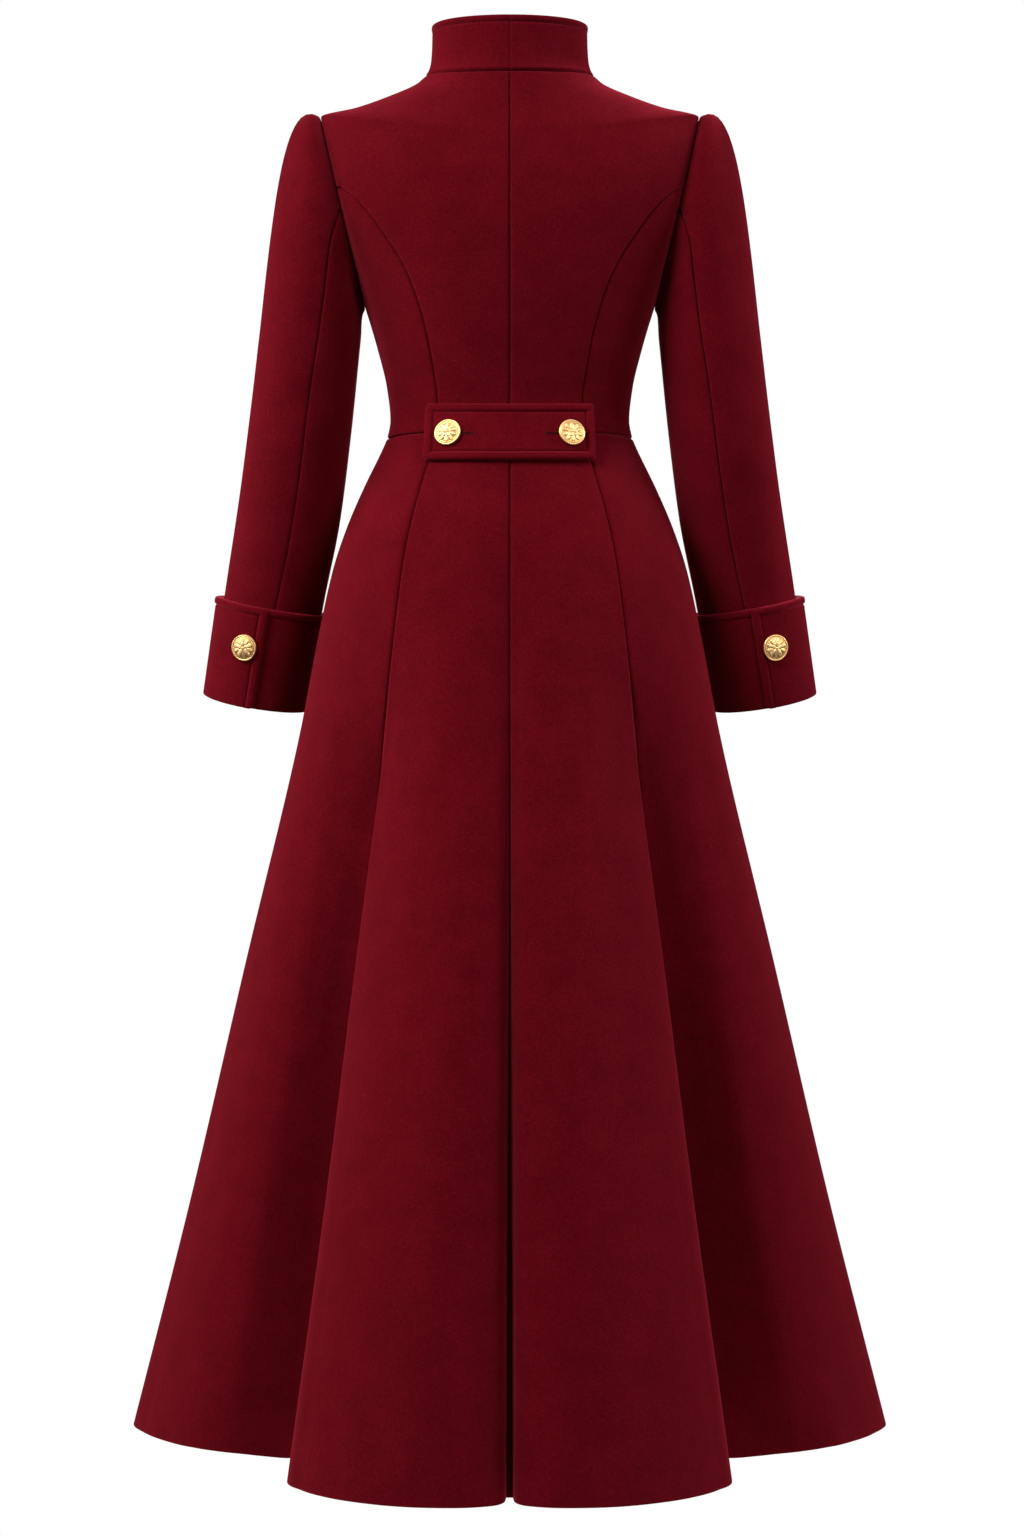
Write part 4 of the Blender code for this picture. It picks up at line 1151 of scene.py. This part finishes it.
def add_belt(wool, thread):
    across, up = belt_grid()
    points, normals = belt_face(across, up)
    inside = belt_inside(across, up)
    draw_in = edge_round(inside, BELT_CLOTH)
    outer = points + normals * (border_height(inside) + slit_height(across, up) - draw_in)[..., None]
    inner = points + normals * (draw_in - BELT_CLOTH)[..., None]
    add_cloth("half_belt", outer, inner, wool)
    add_stitching("belt_stitching", [belt_face(*belt_outline(BORDER))], thread)
    from_button = np.linspace(0, BUTTONHOLE, SWEEP)
    level = np.full(SWEEP, BELT_BUTTON_UP)
    for side, flip in SIDES:
        across = flip[0] * (BELT_BUTTON_X - from_button) / BELT_HALF_TOP
        add_buttonhole(f"belt_buttonhole_{side}", *belt_face(across, level), thread)


# Thread

def ring_faces(rings, sides):
    """Quads between rings of vertices, with a cap on the first and on the last ring."""
    place = np.arange(sides)
    after = (place + 1) % sides
    low = (np.arange(rings - 1) * sides)[:, None]
    quads = np.stack([low + place, low + after, low + sides + after, low + sides + place], axis=-1)
    caps = [place[::-1].tolist(), ((rings - 1) * sides + place).tolist()]
    return quads.reshape(-1, 4).tolist() + caps


def add_stitches(name, middles, ways, normals, length, radius, material):
    """Adds short arched stitches whose ends dip into the cloth."""
    arch = radius * (STITCH_ARCH - STITCH_DIP * STITCH_PLACES**2)
    along = STITCH_PLACES[:, None] * length
    angle = 2 * np.pi * np.arange(STITCH_SIDES) / STITCH_SIDES
    sideways = np.cross(normals, ways)
    spine = middles[:, None] + along * ways[:, None] + arch[:, None] * normals[:, None]
    around = np.cos(angle)[:, None] * sideways[:, None] + np.sin(angle)[:, None] * normals[:, None]
    vertices = spine[:, :, None] + radius * STITCH_GIRTHS[:, None, None] * around[:, None]
    one = ring_faces(len(STITCH_PLACES), STITCH_SIDES)
    starts = np.arange(len(middles)) * len(STITCH_PLACES) * STITCH_SIDES
    faces = [[vertex + int(start) for vertex in face] for start in starts for face in one]
    add_mesh(name, vertices.reshape(-1, 3), faces, material)


def add_stitching(name, routes, material):
    """Rows of topstitches along lines of points on the cloth."""
    middles, ways, facing = [], [], []
    for points, normals in routes:
        run = run_along(points, 0)
        places = np.arange(STITCH_PITCH, run[-1] - STITCH_PITCH, STITCH_PITCH)
        half = STITCH_LENGTH / 2
        normal = unit(sample(run, normals, places))
        middles.append(sample(run, points, places) - normal * STITCH_GROOVE)
        ways.append(unit(sample(run, points, places + half) - sample(run, points, places - half)))
        facing.append(normal)
    stitches = [np.concatenate(group) for group in (middles, ways, facing)]
    add_stitches(name, *stitches, STITCH_LENGTH, THREAD, material)


def add_buttonhole(name, points, normals, material):
    """A worked buttonhole: stitches square to the slit along both of its sides and round its end."""
    run = run_along(points, 0)
    places = np.arange(0, run[-1], BUTTONHOLE_PITCH)
    centre = sample(run, points, places)
    normal = unit(sample(run, normals, places))
    way = unit(np.gradient(centre, axis=0))
    sideways = np.cross(normal, way)
    fan = np.radians(np.linspace(-BUTTONHOLE_FAN, BUTTONHOLE_FAN, BUTTONHOLE_SPOKES))[:, None]
    spokes = np.cos(fan) * way[-1] + np.sin(fan) * sideways[-1]
    beside = sideways * BUTTONHOLE_REACH
    middles = np.concatenate([centre + beside, centre - beside, centre[-1] + spokes * BUTTONHOLE_REACH])
    ways = np.concatenate([sideways, sideways, spokes])
    facing = np.concatenate([normal, normal, np.repeat(normal[-1:], BUTTONHOLE_SPOKES, axis=0)])
    add_stitches(name, middles, ways, facing, BUTTONHOLE_STITCH, BUTTONHOLE_THREAD, material)


# Buttons

def petals(radius, angle, count, start, end, phase):
    """Height from 0 to 1 of a ring of rounded petals, each with a vein along its middle."""
    along = np.clip((radius - start) / (end - start), 0, 1)
    sector = 2 * np.pi / count
    off = (np.mod(angle + phase * sector, sector) / sector - 0.5) * 2
    width = PETAL_WIDTH * np.sqrt(np.sin(np.pi * along**PETAL_SHAPE))
    body = round_top(off / np.maximum(width, PETAL_THINNEST))
    vein = VEIN_DEPTH * np.exp(-((off / VEIN_WIDTH) ** 2)) * (along < VEIN_END)
    rise = PETAL_FOOT + (1 - PETAL_FOOT) * along
    return np.where(width > PETAL_THINNEST, body * (rise - vein), 0.0)


def dome_height(radius):
    """Height of the button's domed field without its relief."""
    return BUTTON_FIELD_HEIGHT + BUTTON_DOME * (1 - np.clip(radius / BUTTON_FIELD, 0, 1) ** 2)


def button_height(radius, angle):
    """Height of the button's face: rim, beads, dome and a rosette of petals."""
    rim = RIM_RISE * round_top((radius - BUTTON_RIM) / BUTTON_RIM_WIDTH)
    bead = np.abs(np.cos(angle * BEADS / 2)) ** BEAD_SHAPE
    beads = BEAD_RISE * bead * round_top((radius - BEAD_RING) / BEAD_WIDTH)
    outer = petals(radius, angle, *OUTER_PETALS)
    inner = INNER_RISE * petals(radius, angle, *INNER_PETALS)
    knob = KNOB_RISE * round_top(radius / KNOB_RADIUS)
    relief = np.maximum(np.maximum(outer, inner), knob)
    return dome_height(radius) + rim + beads + BUTTON_RELIEF * relief


def button_mesh():
    """Vertices and faces of a button on its flat back, and how much painted shade each vertex gets by how
    deep it lies in the relief.
    """
    angle = 2 * np.pi * np.arange(BUTTON_SIDES) / BUTTON_SIDES
    face_radii = np.linspace(BUTTON_RIM + BUTTON_RIM_WIDTH, BUTTON_EYE, BUTTON_RINGS)
    radius, turn = np.meshgrid(face_radii, angle, indexing="ij")
    height = button_height(radius, turn)
    edge = np.repeat(np.array(BUTTON_EDGE)[:, :, None], BUTTON_SIDES, axis=2)
    radius = np.concatenate([edge[:, 0], radius])
    height = np.concatenate([edge[:, 1], height])
    vertices = np.stack([radius * np.cos(angle), radius * np.sin(angle), height], axis=-1)
    # Painted shade: full deep in the relief, none on its higher parts
    recess_shade = 1 - np.clip((height - dome_height(radius)) / (RECESS_SHADE_END * BUTTON_RELIEF), 0, 1)
    return vertices.reshape(-1, 3), ring_faces(len(vertices), BUTTON_SIDES), recess_shade.ravel()


def add_button(node, point, normal, material):
    vertices, faces, recess_shade = button_mesh()
    sideways = unit(np.cross([0.0, 0.0, 1.0], normal))
    upward = np.cross(normal, sideways)
    placed = point + normal * CLEARANCE + vertices @ np.stack([sideways, upward, normal])
    piece = add_mesh(f"{node}_metal", placed, faces, material)
    # Painted shade for the relief's recesses, which the gold material reads as an attribute
    piece.data.attributes.new("recess_shade", "FLOAT", "POINT").data.foreach_set("value", recess_shade)
    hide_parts(node)


def add_buttons(material):
    on_belt = belt_face(np.array([BELT_BUTTON_X / BELT_HALF_TOP]), np.array([BELT_BUTTON_UP]))
    on_cuff = cuff_face(np.array([CUFF_BUTTON_TURN + 360]), np.array([CUFF_BUTTON_ALONG]))
    for name, face in (("belt_button", on_belt), ("cuff_button", on_cuff)):
        for side, flip in SIDES:
            point, normal = flipped(face, flip)
            add_button(f"{name}_{side}", point[0], normal[0], material)


# Materials

def feed(tree, node, inputs):
    """Sets inputs of a node: the output of another node is linked, a plain value is entered."""
    for name, value in inputs.items():
        if isinstance(value, bpy.types.NodeSocket):
            tree.links.new(value, node.inputs[name])
        else:
            node.inputs[name].default_value = value


def add_node(tree, kind, output, inputs, **settings):
    """Adds a node and gives one of its outputs."""
    node = tree.nodes.new(f"ShaderNode{kind}")
    for name, value in settings.items():
        setattr(node, name, value)
    feed(tree, node, inputs)
    return node.outputs[output]


def new_material(name):
    """New material, its node tree and its surface shader."""
    material = bpy.data.materials.new(name)
    material.use_nodes = True
    return material, material.node_tree, material.node_tree.nodes["Principled BSDF"]


def noise(tree, **inputs):
    """Noise laid in the object's own space."""
    place = add_node(tree, "TexCoord", "Object", {})
    return add_node(tree, "TexNoise", "Fac", {"Vector": place, **inputs})


def ramp(tree, value, stops):
    """Colour between two (place, colour) stops."""
    node = tree.nodes.new("ShaderNodeValToRGB")
    for element, (place, colour) in zip(node.color_ramp.elements, stops):
        element.position = place
        element.color = (*colour, 1.0)
    feed(tree, node, {"Fac": value})
    return node.outputs["Color"]


def mixed(tree, kind, first, second):
    inputs = {"Fac": 1.0, "Color1": first, "Color2": second}
    return add_node(tree, "MixRGB", "Color", inputs, blend_type=kind)


def bumped(tree, **inputs):
    return add_node(tree, "Bump", "Normal", inputs)


def wool_material():
    """Felted burgundy wool: mottled colour, short random fibres and a soft nap."""
    material, tree, shader = new_material("burgundy_wool")
    cloud = noise(tree, Scale=30.0, Detail=3.0, Roughness=0.55)
    grain = noise(tree, Scale=420.0, Detail=4.0, Roughness=0.65)
    fibre = noise(tree, Scale=230.0, Detail=3.0, Roughness=0.6, Distortion=3.0)
    colour = mixed(tree, "MULTIPLY", ramp(tree, cloud, WOOL_TONE), ramp(tree, grain, WOOL_SPECKLE))
    grained = bumped(tree, Height=grain, Strength=0.30, Distance=0.0008)
    feed(tree, shader, {
        "Base Color": mixed(tree, "ADD", colour, ramp(tree, fibre, WOOL_STRANDS)),
        "Normal": bumped(tree, Height=fibre, Strength=0.25, Distance=0.0012, Normal=grained),
        "Roughness": 0.95,
        "Specular IOR Level": 0.01,
        "Sheen Weight": 0.5,
        "Sheen Roughness": 0.50,
        "Sheen Tint": WOOL_SHEEN,
    })
    return material


def thread_material():
    """Twisted sewing thread, a little darker and smoother than the wool."""
    material, tree, shader = new_material("burgundy_thread")
    twist = noise(tree, Scale=2400.0, Detail=2.0, Roughness=0.5)
    feed(tree, shader, {
        "Base Color": ramp(tree, twist, THREAD_TONE),
        "Normal": bumped(tree, Height=twist, Strength=0.3, Distance=0.0002),
        "Roughness": 0.7,
        "Specular IOR Level": 0.15,
    })
    return material


def gold_material():
    """Polished pale gold, with painted shade that makes it warmer and darker in the recesses of the relief.
    """
    material, tree, shader = new_material("pale_gold")
    # Painted shade in the relief's recesses, read from the buttons' attribute
    recess_shade = add_node(tree, "Attribute", "Fac", {}, attribute_name="recess_shade")
    wear = noise(tree, Scale=900.0, Detail=4.0, Roughness=0.6)
    feed(tree, shader, {
        "Base Color": mixed(tree, "MULTIPLY", ramp(tree, recess_shade, GOLD_TONE_AND_SHADE), ramp(tree, wear, GOLD_WEAR)),
        "Roughness": add_node(tree, "MapRange", "Result", {"Value": wear, "To Min": 0.34, "To Max": 0.46}),
        "Normal": bumped(tree, Height=wear, Strength=0.08, Distance=0.0002),
        "Metallic": 1.0,
    })
    return material


# Stage, light and camera

def add_floor():
    """Round pale floor, where a wearer would stand."""
    angle = 2 * np.pi * np.arange(FLOOR_SIDES) / FLOOR_SIDES
    height = np.full(FLOOR_SIDES, HEM - FLOOR_DROP)
    vertices = np.stack([FLOOR_RADIUS * np.cos(angle), FLOOR_RADIUS * np.sin(angle), height], axis=-1)
    mesh = bpy.data.meshes.new("studio_floor")
    mesh.from_pydata(vertices.tolist(), [], [tuple(range(FLOOR_SIDES))])
    material, tree, shader = new_material("pale_floor")
    glow = {"Emission Color": WHITE, "Emission Strength": FLOOR_GLOW}
    feed(tree, shader, {"Base Color": PALE, "Roughness": 0.9, **glow})
    mesh.materials.append(material)
    floor = new_object("studio_floor", mesh)


def add_light(name, turn, rise, power):
    """Soft disc of light that faces the upper part of the coat and fades towards the hem."""
    light = bpy.data.lights.new(name, "AREA")
    light.shape = "DISK"
    light.size = LIGHT_SIZE
    light.spread = math.radians(LIGHT_SPREAD)
    light.energy = power
    item = new_object(name, light)
    around = math.radians(turn)
    up = math.radians(rise)
    facing = np.array([math.cos(up) * math.sin(around), math.cos(up) * math.cos(around), math.sin(up)])
    sideways = unit(np.cross([0.0, 0.0, 1.0], facing))
    place = LIGHT_AIM + facing * LIGHT_DISTANCE
    turned = np.eye(4)
    turned[:3] = np.stack([sideways, np.cross(facing, sideways), facing, place], axis=-1)
    item.matrix_world = turned.T.tolist()


def add_world():
    """White studio: bright where it is seen, fading downwards where it is mirrored, and dim as a light."""
    world = bpy.data.worlds.new("studio")
    bpy.context.scene.world = world
    world.use_nodes = True
    tree = world.node_tree
    direction = add_node(tree, "TexCoord", "Generated", {})
    height = add_node(tree, "SeparateXYZ", "Z", {"Vector": direction})
    fading = add_node(tree, "MapRange", "Result", {"Value": height, **WORLD_FADE})
    in_mirror = add_node(tree, "LightPath", "Is Glossy Ray", {})
    in_view = add_node(tree, "LightPath", "Is Camera Ray", {})
    glow = add_node(tree, "Math", "Value", {0: in_mirror, 1: fading}, operation="MULTIPLY")
    seen = add_node(tree, "Math", "Value", {0: in_view, 1: glow}, operation="MAXIMUM")
    strength = add_node(tree, "Math", "Value", {0: seen, 1: WORLD_LIGHT}, operation="MAXIMUM")
    feed(tree, tree.nodes["Background"], {"Color": WHITE, "Strength": strength})


def add_camera():
    data = bpy.data.cameras.new("camera")
    data.sensor_width = SENSOR
    data.lens = SENSOR * FOCAL_PIXELS / FRAME_HEIGHT
    camera = new_object("camera", data)
    camera.location = CAMERA_PLACE
    camera.rotation_euler = (math.radians(90), 0.0, math.radians(180))
    bpy.context.scene.camera = camera


def add_stage():
    add_floor()
    add_world()
    for row in LIGHTS:
        add_light(*row)
    add_camera()
    bpy.context.scene.view_settings.view_transform = "Standard"


def main():
    wool = wool_material()
    thread = thread_material()
    add_bodice(wool)
    add_skirt(wool)
    add_underlay(wool)
    add_sleeves(wool)
    add_cuffs(wool, thread)
    add_collar(wool, thread)
    add_belt(wool, thread)
    add_buttons(gold_material())
    add_stage()


main()
